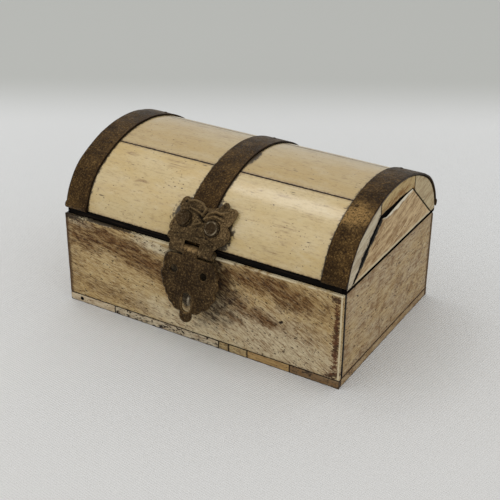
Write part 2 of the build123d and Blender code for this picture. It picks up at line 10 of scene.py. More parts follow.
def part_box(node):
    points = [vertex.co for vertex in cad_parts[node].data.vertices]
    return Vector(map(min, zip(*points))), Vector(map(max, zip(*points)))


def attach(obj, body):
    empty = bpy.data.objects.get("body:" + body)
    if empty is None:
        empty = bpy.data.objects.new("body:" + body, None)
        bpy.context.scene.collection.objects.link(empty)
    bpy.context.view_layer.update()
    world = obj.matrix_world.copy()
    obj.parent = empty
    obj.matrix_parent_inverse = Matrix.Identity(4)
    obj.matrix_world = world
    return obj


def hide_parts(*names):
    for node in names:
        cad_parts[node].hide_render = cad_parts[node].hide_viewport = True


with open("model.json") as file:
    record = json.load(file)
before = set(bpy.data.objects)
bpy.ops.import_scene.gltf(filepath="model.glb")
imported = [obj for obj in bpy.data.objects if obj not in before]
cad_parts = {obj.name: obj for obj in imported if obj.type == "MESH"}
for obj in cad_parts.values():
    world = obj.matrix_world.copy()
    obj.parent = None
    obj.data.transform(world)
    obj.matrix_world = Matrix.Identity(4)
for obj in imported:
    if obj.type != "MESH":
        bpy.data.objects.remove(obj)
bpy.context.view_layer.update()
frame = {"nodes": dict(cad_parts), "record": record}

# A small dome-topped chest clad in bone, with brass straps and a brass hasp. Pieces are built in
# millimetres in the part's own frame and scaled to metres once: X runs along the front from left to
# right, Y from front to back and Z up.

MM = 0.001


def span(node):
    """A node's lowest and highest corners, in millimetres."""
    low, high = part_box(node)
    return np.array(low) / MM, np.array(high) / MM


# Sizes of the box and lid: from the frame, or as in the part's source

front_low, front_high = span("bone_front")
half_depth = -front_low[1]
base_height = front_high[2]
bone = front_high[1] - front_low[1]
apex_z = span("strap_left")[1][2]
rim_top = span("lid_rim_front")[1][2]
strap_edges = [corner[0] for corner in (span("strap_left")[1], *span("strap_middle"), span("strap_right")[0])]
haunch_radius = 20.6  # of the arch at the front and rear
spring_drop = 1.0  # from the box's upper edge down to the haunches' middle
strap = 0.6
strap_ease = 0.16  # radius of the straps' long edges
panel_inset = 0.65  # from the straps' outer face in to the panels'
joint = 0.35
joint_fill = 0.07  # how far the pieces of bone reach into a joint from each side
top_row = 13.4  # half the width of the panels' top row
worn_corner = 1.2
lining = 0.8
lining_inset = 4.8  # from the straps' outer face in to the lining

# The arch: two haunches with a crown between them, where the straps' outer face is

spring_z = base_height - spring_drop
haunch_y = half_depth - haunch_radius
arch_height = apex_z - spring_z
crown_radius = (haunch_y**2 + arch_height**2 - haunch_radius**2) / (2 * (arch_height - haunch_radius))
crown_z = apex_z - crown_radius
haunch_angle = math.atan2(haunch_y, spring_z - crown_z)  # from the vertical, where haunch meets crown

# The hasp's pin, and the way its leaf leans back from the pin against the lid

barrel_radius = 1.6
leaf_radius = haunch_radius + 0.75  # of the arch that the leaf leans on
nail_places = {"left": (-5.2, 8.9), "right": (5.2, 8.0)}  # across, and up from the pin
flap_tilt = math.radians(9.0)
pin_y = -half_depth - 1.45
pin_z = base_height + 1.1
reach = math.hypot(pin_y + haunch_y, pin_z - spring_z)
lean = math.atan2(pin_z - spring_z, pin_y + haunch_y) - math.acos((leaf_radius - barrel_radius) / reach)
leaf_out = np.array([0, math.cos(lean), math.sin(lean)])
leaf_up = np.array([0, math.sin(lean), -math.cos(lean)])


# Meshes


def noise(points, size, seed=0):
    """Smooth noise from -1 to 1 at each point, with blobs of a size in millimetres."""
    place = points / size + seed * 17.31
    cell = np.floor(place).astype(np.int64)
    share = place - cell
    share = share * share * (3 - 2 * share)
    total = np.zeros(len(points))
    for corner in range(8):  # each corner's whole numbers are mixed into one value from -1 to 1
        step = np.array([corner & 1, corner >> 1 & 1, corner >> 2 & 1])
        key = (cell + step) @ np.array([73856093, 19349663, 83492791])
        key = (key ^ (key >> 13)) * 1274126177 & 0x7FFFFFFF
        value = (key ^ (key >> 16)) % 65536 / 32768 - 1
        total += value * np.prod(np.where(step, share, 1 - share), axis=1)
    return total


def rough(points, size, seed=0, octaves=3):
    """Noise with finer noise added, octave by octave."""
    return sum(noise(points, size / 2**n, seed + n) / 2**n for n in range(octaves))


def ticks(low, high, step):
    """Evenly spaced places from low to high, about a step apart."""
    return np.linspace(low, high, max(2, round((high - low) / step)) + 1)


def box_grid(low, high, steps):
    """A closed box of quads: its points, its faces, and which points lie on the +Z side."""
    places = [ticks(*size) for size in zip(low, high, steps)]
    counts = [len(place) for place in places]
    strides = np.array([counts[1] * counts[2], counts[2], 1])
    quads = []
    for axis in range(3):
        u, v = (axis + 1) % 3, (axis + 2) % 3
        iu, iv = np.meshgrid(np.arange(counts[u] - 1), np.arange(counts[v] - 1), indexing="ij")
        start = (iu * strides[u] + iv * strides[v]).ravel()
        for end in (0, counts[axis] - 1):
            corner = start + end * strides[axis]
            ring = [corner, corner + strides[u], corner + strides[u] + strides[v], corner + strides[v]]
            quads.append(np.stack(ring if end else ring[::-1], axis=1))
    quads = np.concatenate(quads)
    used, faces = np.unique(quads, return_inverse=True)
    index = np.stack([used // strides[0], used // strides[1] % counts[1], used % counts[2]], axis=1)
    points = np.stack([places[axis][index[:, axis]] for axis in range(3)], axis=1)
    return points, faces.reshape(-1, 4), index[:, 2] == counts[2] - 1


def worn_box(low, high, steps, wear, chips, seed):
    """A box with worn edges and chips, and how far each point of it lies from an edge of the top."""
    points, faces, top = box_grid(low, high, steps)
    low, high = np.array(low, float), np.array(high, float)
    chipped = np.clip(rough(points, 2.5, seed) - 0.35, 0, None) * chips
    radius = wear * (1 + 0.4 * noise(points, 1.7, seed + 5)) + chipped
    radius = np.clip(radius, 0.02, (high - low).min() * 0.45)
    centre = np.clip(points, low + radius[:, None], high - radius[:, None])
    off = points - centre
    length = np.linalg.norm(off, axis=1)
    outside = length > radius
    points[outside] = centre[outside] + off[outside] * (radius / np.maximum(length, 1e-9))[outside, None]
    edge = np.minimum((points - low)[:, :2].min(1), (high - points)[:, :2].min(1))
    return points, faces, edge, top


def new_piece(name, points, faces, material, body, replaces=(), edge=None, relief=None):
    """A smooth-shaded mesh object from points in millimetres, riding on a body."""
    mesh = bpy.data.meshes.new(name)
    mesh.from_pydata((points * MM).tolist(), [], [list(map(int, face)) for face in faces])
    for label, values in (("edge", edge), ("relief", relief)):
        if values is not None:
            mesh.attributes.new(label, "FLOAT", "POINT").data.foreach_set("value", values.astype(np.float32))
    mesh.polygons.foreach_set("use_smooth", [True] * len(mesh.polygons))
    mesh.materials.append(material)
    piece = bpy.data.objects.new(name, mesh)
    bpy.context.scene.collection.objects.link(piece)
    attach(piece, body)
    if replaces:
        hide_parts(*replaces)
    return piece


def mesh_arrays(mesh, unit):
    """A mesh's points, in millimetres where its unit is that many of them, and its faces."""
    points = np.zeros(len(mesh.vertices) * 3)
    mesh.vertices.foreach_get("co", points)
    return points.reshape(-1, 3) * unit, [list(face.vertices) for face in mesh.polygons]


def remeshed(points, faces, voxel, smooth=2):
    """The same closed shape as an even skin of quads, with its sharp edges a little eased."""
    mesh = bpy.data.meshes.new("scratch")
    mesh.from_pydata(points.tolist(), [], [list(map(int, face)) for face in faces])
    scratch = bpy.data.objects.new("scratch", mesh)
    bpy.context.scene.collection.objects.link(scratch)
    remesh = scratch.modifiers.new("remesh", "REMESH")
    remesh.mode = "VOXEL"
    remesh.voxel_size = voxel
    if smooth:
        ease = scratch.modifiers.new("ease", "SMOOTH")
        ease.iterations = smooth
    depsgraph = bpy.context.evaluated_depsgraph_get()
    result = bpy.data.meshes.new_from_object(scratch.evaluated_get(depsgraph))
    made = mesh_arrays(result, 1.0)
    bpy.data.objects.remove(scratch)
    bpy.data.meshes.remove(mesh)
    bpy.data.meshes.remove(result)
    return made


def node_arrays(node):
    """A CAD node's points, in millimetres, and its faces, with equal points joined."""
    points, faces = mesh_arrays(frame["nodes"][node].data, 1 / MM)
    unique, inverse = np.unique(points.round(4), axis=0, return_inverse=True)
    inverse = inverse.ravel()
    faces = [[int(inverse[corner]) for corner in face] for face in faces]
    return unique, [face for face in faces if len(set(face)) == len(face)]


def loose_parts(node):
    """The lowest and highest corners of each loose part of a node, from left to right."""
    points, faces = node_arrays(node)
    owner = list(range(len(points)))

    def root(n):
        while owner[n] != n:
            n = owner[n]
        return n

    for face in faces:
        for corner in face[1:]:
            owner[root(corner)] = root(face[0])
    parts = {}
    for n in range(len(points)):
        parts.setdefault(root(n), []).append(n)
    boxes = [(points[part].min(0), points[part].max(0)) for part in parts.values()]
    return sorted(boxes, key=lambda box: box[0][0])


def normals_of(points, faces):
    """The outward normal at each point of a mesh of quads."""
    quads = np.array([face if len(face) == 4 else [*face, face[-1]] for face in faces])
    across = points[quads[:, 2]] - points[quads[:, 0]]
    along = points[quads[:, 3]] - points[quads[:, 1]]
    flat = np.cross(across, along)
    total = np.zeros_like(points)
    for corner in range(4):
        np.add.at(total, quads[:, corner], flat)
    return total / np.maximum(np.linalg.norm(total, axis=1), 1e-12)[:, None]


def on_arch(across, along, depth):
    """Points on the lid: across is X, along the distance over the lid from its crown, to the rear,
    and depth how far inside the straps' outer face."""
    crown_run = crown_radius * haunch_angle
    side = np.sign(along)
    run = np.abs(along)
    crown = run <= crown_run
    angle = np.where(crown, run / crown_radius, haunch_angle + (run - crown_run) / haunch_radius)
    radius = np.where(crown, crown_radius, haunch_radius) - depth
    y = np.where(crown, 0, haunch_y) + radius * np.sin(angle)
    z = np.where(crown, crown_z, spring_z) + radius * np.cos(angle)
    return np.stack([across, side * y, z], axis=1)


def run_to(height, inset):
    """The distance over the lid from its crown down to a height on one of its layers."""
    angle = math.acos((height - spring_z) / (haunch_radius - inset))
    return crown_radius * haunch_angle + (angle - haunch_angle) * haunch_radius


def quads_between(*corners):
    """Quads whose four corners are given as arrays of point numbers."""
    return np.stack([corner.ravel() for corner in corners], axis=1).tolist()


def turned(profile, sides=64):
    """A closed solid turned round Z from (radius, height) points, from its foot to its top."""
    turn = np.linspace(0, 2 * math.pi, sides, endpoint=False)
    rings = [np.stack([r * np.cos(turn), r * np.sin(turn), np.full(sides, h)], axis=1) for r, h in profile]
    index = np.arange(len(rings) * sides).reshape(len(rings), sides)
    ahead = np.roll(index, -1, axis=1)
    faces = quads_between(index[:-1], ahead[:-1], ahead[1:], index[1:])
    return np.concatenate(rings), faces + [index[0, ::-1].tolist(), index[-1].tolist()]


# Materials

BONE_PALE = (0.503, 0.394, 0.203)
BONE_WHITE = (0.56, 0.48, 0.32)
BONE_WARM = (0.461, 0.329, 0.129)
BONE_DULL = (0.40, 0.29, 0.145)
BONE_PLAIN = (0.46, 0.36, 0.22)
BONE_BROWN = (0.155, 0.074, 0.022)
FRESH_BREAK = (0.66, 0.60, 0.47)
BONE_GREY = (0.50, 0.43, 0.30)
BONE_SHADE = (0.25, 0.17, 0.075)
BONE_GOLD = (0.19, 0.088, 0.022)
STAIN = (0.112, 0.047, 0.011)
STAIN_FINE = (0.09, 0.038, 0.011)
STAIN_EDGE = (0.05, 0.022, 0.010)
STAIN_DEEP = (0.032, 0.013, 0.005)
RUST = (0.075, 0.020, 0.006)
RUST_DEEP = (0.030, 0.010, 0.005)
SOOT_AND_SHADE = (0.022, 0.013, 0.008)
SHADE_AND_SOOT_DEEP = (0.010, 0.007, 0.005)
PORE = (0.05, 0.028, 0.014)
PORE_FAINT = (0.12, 0.065, 0.022)
LAC_AND_SHADE = (0.0035, 0.0030, 0.0028)
FAR = 1e4  # half size of a patch in the direction that doesn't bound it


def fall(degrees):
    """The turn about Y that makes streaks on the front fall to the right."""
    return (0.0, math.radians(degrees), 0.0)


def slope(degrees):
    """The turn about X that makes streaks on the ends rise to the rear."""
    return (math.radians(degrees), 0.0, 0.0)


def along(axis, length, width):
    """A size of length along one axis and width along the others."""
    return tuple(length if n == axis else width for n in range(3))


class Surface:
    """One procedural material, whose coordinates are millimetres in the part's own frame. It is
    painted over its ground colour, coat by coat."""

    def __init__(self, name, color, **fixed):
        self.material = bpy.data.materials.new(name)
        self.material.use_nodes = True
        self.tree = self.material.node_tree
        self.shader = self.tree.nodes["Principled BSDF"]
        for socket, value in fixed.items():
            self.shader.inputs[socket.replace("_", " ")].default_value = value
        self.color = color
        self.normal = None
        place = self.add("TexCoord").outputs["Object"]
        self.mm = self.vector("SCALE", place, scale=1 / MM)
        self.x, self.y, self.z = self.add("SeparateXYZ", {0: self.mm}).outputs

    def set(self, socket, value):
        """Links a value to a socket, or writes it there where it is a plain one."""
        if isinstance(value, bpy.types.NodeSocket):
            self.tree.links.new(value, socket)
        elif isinstance(value, (tuple, list)) and len(value) == 3 and socket.type == "RGBA":
            socket.default_value = (*value, 1)
        else:
            socket.default_value = value

    def add(self, kind, inputs=(), **settings):
        """A new node of a kind with its settings, and with the inputs that aren't None."""
        node = self.tree.nodes.new("ShaderNode" + kind)
        for name, value in settings.items():
            setattr(node, name, value)
        for socket, value in dict(inputs).items():
            if value is not None:
                self.set(node.inputs[socket], value)
        return node

    def vector(self, operation, a, b=None, scale=None):
        """A vector operation's result."""
        node = self.add("VectorMath", {0: a, 1: b, "Scale": scale}, operation=operation)
        return node.outputs["Value" if operation in ("LENGTH", "DOT_PRODUCT") else "Vector"]

    def math(self, operation, a, b=0.0):
        """The result of an operation on one or two values."""
        return self.add("Math", {0: a, 1: b}, operation=operation).outputs[0]

    def times(self, *values):
        """The product of several values."""
        return functools.reduce(lambda total, value: self.math("MULTIPLY", total, value), values)

    def most(self, *values):
        """The largest of several masks."""
        return functools.reduce(lambda total, value: self.math("MAXIMUM", total, value), values)

    def rest(self, total, value):
        """What is left of a total without a value."""
        return self.math("SUBTRACT", total, value)

    def lerp(self, share, a, b):
        """A value between a and b."""
        return self.add("Mix", {0: share, 2: a, 3: b}).outputs[0]

    def remap(self, value, low, high, new_low=0.0, new_high=1.0):
        """A value eased from new_low to new_high while it goes from low to high."""
        inputs = dict(enumerate((value, low, high, new_low, new_high)))
        return self.add("MapRange", inputs, interpolation_type="SMOOTHSTEP").outputs[0]

    def mix(self, share, a, b):
        """A colour between a and b."""
        return self.add("Mix", {0: share, 6: a, 7: b}, data_type="RGBA").outputs[2]

    def paint(self, tone, *shares):
        """Lays a tone over the colour, as thick as the product of the shares."""
        self.color = self.mix(self.times(*shares), self.color, tone)

    def placed(self, size, shift=(0.0, 0.0, 0.0), turn=(0.0, 0.0, 0.0)):
        """Coordinates in which a size of (x, y, z) millimetres is one unit, from a shifted origin."""
        scale = size if isinstance(size, tuple) else (size, size, size)
        inputs = {"Vector": self.mm, "Location": shift, "Rotation": turn, "Scale": scale}
        return self.add("Mapping", inputs, vector_type="TEXTURE").outputs[0]

    def noise(self, size, detail=3.0, roughness=0.55, shift=0.0, warp=0.0, turn=(0.0, 0.0, 0.0)):
        """Noise around 0.5, with blobs of that size in millimetres."""
        place = self.placed(size, (shift, 2 * shift, 3 * shift), turn)
        inputs = {"Vector": place, "Scale": 1.0, "Detail": detail, "Roughness": roughness, "Distortion": warp}
        return self.add("TexNoise", inputs).outputs[0]

    def dashes(self, size, share, width, shift=0.0, turn=(0.0, 0.0, 0.0)):
        """Scattered dark dashes: a share of the cells of that size holds one, of that width."""
        place = self.placed(size, (shift, 2 * shift, 3 * shift), turn)
        cells = self.add("TexVoronoi", {"Vector": place, "Scale": 1.0})
        split = self.add("SeparateColor", {0: cells.outputs["Color"]})
        kept = self.math("LESS_THAN", split.outputs[0], share)
        inputs = {0: split.outputs[1], 1: width * 0.8, 2: width * 0.4}
        reach = self.add("Math", inputs, operation="MULTIPLY_ADD").outputs[0]
        near = self.math("DIVIDE", cells.outputs["Distance"], reach)
        return self.times(self.remap(near, 0.6, 1.0, 1.0, 0.0), kept)

    def spot(self, centre, radii, turn=(0.0, 0.0, 0.0), soft=0.5, ragged=None):
        """1 inside an ellipsoid and 0 outside, its edge soft, and ragged by a noise from 0 to 1."""
        reach = self.vector("LENGTH", self.placed(radii, centre, turn))
        if ragged is not None:
            reach = self.math("ADD", reach, self.times(self.rest(ragged, 0.5), 1.6))
        return self.remap(reach, 1.0 - soft, 1.0 + soft, 1.0, 0.0)

    def patches(self, rows, ragged=None):
        """The largest of several spots on the front, each a row as in FRONT_STAINS, where the
        strength can be left out."""
        return self.most(*(
            self.times(self.spot((x, 0, z), (half_x, FAR, half_z), fall(angle), soft, ragged), *strength)
            for x, z, half_x, half_z, angle, soft, *strength in rows
        ))

    def seam(self, corners, width, ragged):
        """1 along a broken line of (y, z) corners, as wide on each side as given, and ragged."""
        marks = []
        for (y, z), (next_y, next_z) in zip(corners, corners[1:]):
            middle = (0.0, (y + next_y) / 2, (z + next_z) / 2)
            half = math.hypot(next_y - y, next_z - z) / 2
            turn = (math.atan2(next_z - z, next_y - y), 0.0, 0.0)
            marks.append(self.spot(middle, (FAR, half * 1.25, width), turn, 0.25, ragged))
        return self.most(*marks)

    def bump(self, height, depth):
        """Adds relief, with the depth in millimetres that a height of 1 has."""
        inputs = {"Strength": 1.0, "Distance": depth * MM, "Height": height, "Normal": self.normal}
        self.normal = self.add("Bump", inputs).outputs[0]

    def attribute(self, name):
        """A value that a piece has at each of its points."""
        return self.add("Attribute", attribute_name=name).outputs["Fac"]

    def near_edge(self, reach, ragged):
        """1 at the worn edges of a piece, fading out at a reach in millimetres."""
        edge = self.attribute("edge")
        wander = self.times(self.rest(ragged, 0.5), reach * 1.5)
        return self.remap(self.math("ADD", edge, wander), 0.0, reach, 1.0, 0.0)

    def finish(self, grain=None, smooth=0.0, coarse=1.0, high=0.7):
        """The finished material, its roughness between two values as its grain, if any, goes from
        0.3 to high."""
        self.set(self.shader.inputs["Base Color"], self.color)
        if grain is not None:
            self.set(self.shader.inputs["Roughness"], self.remap(grain, 0.3, high, smooth, coarse))
        if self.normal is not None:
            self.set(self.shader.inputs["Normal"], self.normal)
        return self.material


def ivory(name, shift, warmth, shade):
    """Polished bone of the lid, with fine pores along X, grime along the straps, grime and painted shade
    round the leaf, and painted shade on the top and rear rows.
    """
    s = Surface(name, BONE_PALE, Specular_IOR_Level=0.35, Coat_Roughness=0.17)
    broad = s.noise(along(0, 24.0, 9.0), 3.0, shift=shift)
    grain = s.noise(along(0, 14.0, 0.9), 5.0, 0.6, shift=shift + 3)
    fine = s.noise(along(0, 2.8, 0.55), 4.0, 0.7, shift=shift + 7)
    cloud = s.noise(along(0, 9.0, 4.0), 4.0, 0.6, shift=shift + 11)
    s.paint(BONE_WARM, s.remap(broad, 0.38, 0.66))
    s.paint(BONE_WARM, warmth)
    s.paint(BONE_WHITE, s.remap(cloud, 0.5, 0.3), 0.3)
    s.paint(BONE_DULL, s.remap(grain, 0.5, 0.72), 0.4)
    s.paint(BONE_BROWN, s.remap(cloud, 0.54, 0.7), s.remap(grain, 0.4, 0.65), 0.6)
    s.paint(BONE_BROWN, s.remap(fine, 0.54, 0.7), 0.36)
    hair = s.noise(along(0, 1.6, 0.5), 3.0, 0.8, shift=shift + 19)
    s.paint(BONE_BROWN, s.remap(hair, 0.55, 0.68), 0.3)
    s.paint(BONE_WHITE, s.remap(hair, 0.44, 0.32), 0.3)
    pores = s.most(
        s.dashes(along(0, 2.2, 1.2), 0.45, 0.18, shift),
        s.dashes(along(0, 1.1, 0.7), 0.35, 0.22, shift + 5),
        s.dashes(along(0, 6.0, 1.2), 0.3, 0.2, shift + 9),
    )
    gather = s.remap(s.noise(7.0, 3.0, shift=shift + 13), 0.4, 0.62, 0.2, 0.9)
    s.paint(s.mix(s.remap(cloud, 0.4, 0.6), PORE, PORE_FAINT), pores, gather)
    lines = s.dashes(along(0, 17.0, 1.3), 0.5, 0.13, shift + 17)
    s.paint(BONE_BROWN, lines, s.remap(fine, 0.42, 0.55), 0.6)
    ragged = s.noise(0.9, 4.0, shift=shift)
    # Painted shade: the top row, and the rear row less so, darkened as though they got less light
    s.paint(BONE_SHADE, shade)
    s.paint(BONE_BROWN, s.near_edge(1.3, ragged), 0.45)
    # Grime and painted shade in a ragged ring round the leaf, mostly hidden under it
    leaf_middle = tuple(np.array([0.8, pin_y, pin_z]) + leaf_up * 8.2)
    uneven = s.remap(s.noise(1.3, 4.0), 0.3, 0.7, 0.44, 0.56)
    beside_leaf = s.spot(leaf_middle, (11.0, 9.0, 9.6), soft=0.07, ragged=uneven)
    smear = s.spot((strap_edges[2] + 0.2, -5.0, 0), (1.5, 4.2, FAR), soft=0.4, ragged=ragged)
    # Grime and painted shade: the panel edges, the ring round the leaf, the glue smear and the dark lines
    # along the straps
    grime_and_shade = [s.near_edge(0.4, ragged), beside_leaf, smear]
    for place in strap_edges:
        away = s.math("ABSOLUTE", s.rest(s.x, place))
        grime_and_shade.append(s.remap(away, s.remap(ragged, 0.4, 0.65, 0.45, 1.3), 0.25))
    grimed_and_shaded = s.times(s.most(*grime_and_shade), 0.93)
    s.paint(SOOT_AND_SHADE, grimed_and_shaded)
    s.set(s.shader.inputs["Coat Weight"], s.times(s.rest(1.0, grimed_and_shaded), 0.75))
    s.bump(fine, 0.012)
    s.bump(s.rest(1.0, pores), 0.04)
    return s.finish(s.math("ADD", s.times(pores, 0.5), fine), 0.28, 0.6, high=1.0)


# Marks on the front plate. A row is a mark's middle x and z, its half sizes, its fall to the right in
# degrees, how soft its edge is, and how strong it is.
FRONT_STAINS = [
    (-33.0, 26.4, 16.0, 4.0, 11, 0.55, 1.0),
    (-22.0, 24.2, 14.0, 4.6, 12, 0.55, 1.0),
    (-12.0, 21.0, 6.0, 3.6, 15, 0.55, 0.9),
    (-43.5, 25.4, 8.0, 4.4, 8, 0.55, 1.0),
    (-32.6, 7.6, 15.0, 2.8, 6, 0.55, 0.45),
    (-48.0, 14.0, 3.0, 9.0, 0, 0.55, 0.4),
    (10.0, 26.0, 3.4, 6.5, 35, 0.55, 1.0),
    (14.5, 20.5, 7.0, 2.2, 28, 0.55, 0.8),
    (26.0, 28.2, 17.0, 3.6, 6, 0.55, 1.0),
    (33.0, 25.2, 8.0, 3.4, 10, 0.55, 0.9),
    (16.0, 28.8, 8.0, 2.6, 10, 0.55, 0.9),
    (22.0, 16.8, 10.0, 2.2, 10, 0.55, 1.0),
    (13.0, 13.6, 5.0, 1.3, 22, 0.55, 0.8),
    (39.0, 17.4, 7.0, 4.0, 20, 0.55, 0.25),
    (43.0, 26.0, 6.0, 4.0, 20, 0.55, 0.4),
]
FRONT_GREYED = [(28.0, 9.0, 26.0, 10.0, 6, 0.6, 0.7)]
FRONT_PALE = [
    (-15.0, 29.6, 8.0, 1.9, 8, 0.5),
    (-4.0, 5.5, 17.0, 4.5, 6, 0.6, 0.8),
    (-45.0, 30.3, 5.5, 1.3, 2, 0.5, 0.75),
    (30.0, 8.0, 16.0, 4.0, 6, 0.6, 0.3),
]
FRONT_RUST = [
    (49.3, 17.0, 0.95, 14.5, 0.5, 0.25),
    (48.6, 4.6, 2.6, 1.1, -28, 0.4),
    (48.8, 30.6, 1.7, 1.2, 20, 0.4),
]
FRONT_DARK = [(-49.5, 32.0, 5.5, 1.3, 3, 0.35), (-35.0, 32.4, 12.0, 0.55, 0, 0.3)]


def front_plate_bone():
    """Scraped bone: streaked with brown left of the hasp, cross-scratched right of it."""
    s = Surface("front_bone", (0.465, 0.345, 0.17), Specular_IOR_Level=0.1)
    ragged = s.noise(2.6, 4.0, 0.6)
    right = s.remap(s.x, -4.0, 9.0)

    def streaks(detail, *sides):
        """Noise along the fibres, left and right of the hasp, from length, width, roughness, fall,
        shift and warp."""
        return s.lerp(right, *(
            s.noise((length, 1, width), detail, roughness, shift, warp, fall(angle))
            for length, width, roughness, angle, shift, warp in sides
        ))

    fibre = streaks(6.0, (3.2, 0.6, 0.78, 11, 0, 0.3), (3.0, 0.7, 0.8, 25, 3, 0.4))
    coarse = streaks(4.0, (14.0, 1.7, 0.65, 10, 5, 0), (12.0, 1.5, 0.65, 24, 6, 0))
    scratch = s.noise((9.0, 1, 0.55), 4.0, 0.65, turn=fall(34), shift=8, warp=0.2)
    broad = s.noise((16.0, 1, 7.0), 3.0, turn=fall(12), shift=11)
    s.paint((0.405, 0.28, 0.12), s.remap(broad, 0.35, 0.66))
    s.paint(BONE_GREY, s.patches(FRONT_GREYED, ragged))
    s.paint(BONE_WHITE, s.patches(FRONT_PALE, ragged))
    s.paint(BONE_BROWN, s.remap(fibre, 0.46, 0.62), s.remap(coarse, 0.35, 0.6, 0.45, 1.0), 0.75)
    streaked = s.remap(s.math("ADD", fibre, coarse), 0.84, 1.06, 0.6, 1.0)
    stained = s.times(s.patches(FRONT_STAINS, ragged), streaked)
    s.paint(STAIN, stained, 0.92)
    s.paint(STAIN_DEEP, stained, s.remap(fibre, 0.48, 0.56), 0.85)
    chalk = s.remap(streaks(5.0, (3.2, 0.8, 0.8, 11, 21, 0), (2.8, 0.7, 0.8, 25, 23, 0)), 0.54, 0.66)
    s.paint(BONE_WHITE, chalk, s.rest(0.5, s.times(stained, 0.35)))
    s.paint(BONE_BROWN, s.remap(scratch, 0.54, 0.6), right, 0.4)
    hair = streaks(3.0, (2.6, 0.42, 0.8, 11, 31, 0), (2.2, 0.42, 0.8, 25, 33, 0))
    s.paint(STAIN_FINE, s.remap(hair, 0.51, 0.62), 0.5)
    s.paint(BONE_WHITE, s.remap(hair, 0.46, 0.36), s.rest(0.32, s.times(stained, 0.3)))
    # Grime and painted shade spreading right of the flap, and painted shade laid on as a soot stain behind
    # the flap, so that its holes and gaps read dark
    grime_and_shade_by_flap = s.times(s.patches([(3.5, 21.5, 11.0, 12.5, 0, 0.35)], ragged), s.remap(fibre, 0.4, 0.58, 0.35, 1.0))
    uneven = s.remap(ragged, 0.3, 0.7, 0.38, 0.62)
    shade_and_soot_behind_flap = s.patches([(-1.6, 22.6, 9.8, 10.8, 0, 0.16)], uneven)
    shade_and_soot_behind_flap = s.times(shade_and_soot_behind_flap, s.remap(fibre, 0.34, 0.58, 0.82, 1.0))
    s.paint(s.mix(shade_and_soot_behind_flap, SOOT_AND_SHADE, SHADE_AND_SOOT_DEEP), s.most(grime_and_shade_by_flap, shade_and_soot_behind_flap), 0.95)
    marks = s.most(
        s.dashes((2.6, 1, 1.0), 0.3, 0.2, turn=fall(15)),
        s.dashes((1.3, 1, 0.7), 0.25, 0.24, 4, turn=fall(25)),
        s.times(s.dashes((1.5, 1, 0.8), 0.4, 0.2, 14, turn=fall(20)), right),
        s.patches([(30.7, 17.0, 0.9, 0.45, -30, 0.3, 1.2)], s.noise(0.7, 2.0)),
    )
    s.paint(SOOT_AND_SHADE, marks, 0.85)
    specks = s.times(s.patches([(-17.0, 30.3, 9.0, 1.6, 8, 0.4)]), s.dashes((1.6, 1, 0.7), 0.75, 0.3, 9))
    s.paint(SOOT_AND_SHADE, specks)
    spread = s.remap(s.noise((1.1, 1, 0.8), 5.0, 0.85), 0.32, 0.68)
    rust_tone = s.mix(s.remap(ragged, 0.42, 0.58), RUST, RUST_DEEP)
    s.paint(rust_tone, s.patches(FRONT_RUST, spread), 0.92)
    worn_edge = s.times(s.remap(s.x, 50.2, 50.4), s.remap(s.x, 50.95, 50.8))
    s.paint(BONE_WHITE, worn_edge, 0.85)
    # Painted highlight: a broken pale line along the plate's top edge
    top_edge_highlight = s.times(s.remap(s.z, 31.7, 32.05), s.remap(s.noise(5.0, 3.0), 0.4, 0.55))
    s.paint(BONE_WHITE, top_edge_highlight, 0.8)
    left_edge = s.remap(s.math("ADD", s.x, s.times(spread, 1.1)), -48.6, -49.7)
    s.paint(STAIN_EDGE, left_edge, 0.85)
    s.paint(SOOT_AND_SHADE, s.patches(FRONT_DARK, spread), 0.92)
    s.bump(fibre, 0.16)
    s.bump(s.rest(1.0, s.most(marks, s.times(stained, fibre))), 0.14)
    return s.finish(fibre, 0.42, 0.66)


def side_plate_bone(name, shift, axis, tone):
    """Duller bone of the other sides, with dark pores along the plate."""
    s = Surface(name, tone, Specular_IOR_Level=0.2)
    ragged = s.noise(2.8, 4.0, 0.6, shift=shift)
    fibre = s.noise(along(axis, 4.5, 0.7), 5.0, 0.75, shift=shift + 2)
    broad = s.noise(along(axis, 15.0, 6.0), 4.0, 0.55, shift=shift + 5)
    patch = s.noise(5.0, 4.0, 0.6, shift=shift + 9)
    s.paint(BONE_DULL, s.remap(broad, 0.34, 0.66))
    s.paint(BONE_BROWN, s.remap(patch, 0.48, 0.72), 0.75)
    s.paint(BONE_BROWN, s.remap(fibre, 0.45, 0.62), 0.65)
    pores = s.most(
        s.dashes(along(axis, 2.4, 1.0), 0.4, 0.26, shift),
        s.dashes(along(axis, 1.3, 0.7), 0.4, 0.3, shift + 4),
    )
    chalk = s.remap(s.noise(along(axis, 3.0, 0.8), 5.0, 0.8, shift=shift + 12), 0.54, 0.66)
    s.paint(BONE_WHITE, chalk, 0.5)
    dense = s.remap(s.noise(9.0, 2.0, shift=shift + 6), 0.38, 0.6, 0.4, 1.0)
    s.paint(SOOT_AND_SHADE, pores, dense, 0.95)
    s.paint(SOOT_AND_SHADE, s.near_edge(0.55, s.noise(0.9, 4.0, shift=shift)), 0.8)
    s.paint(BONE_BROWN, s.near_edge(3.0, ragged), 0.35)
    if axis == 1:  # the lac of the joint behind the front plate
        joint_y = bone - half_depth
        lac_line = s.remap(s.math("ADD", s.y, s.times(ragged, 0.6)), joint_y + 1.6, joint_y + 1.2)
        s.paint(LAC_AND_SHADE, lac_line, s.remap(s.z, front_low[2] - 0.1, front_low[2] + 0.1))
    s.bump(fibre, 0.14)
    s.bump(s.rest(1.0, pores), 0.16)
    return s.finish(fibre, 0.45, 0.7)


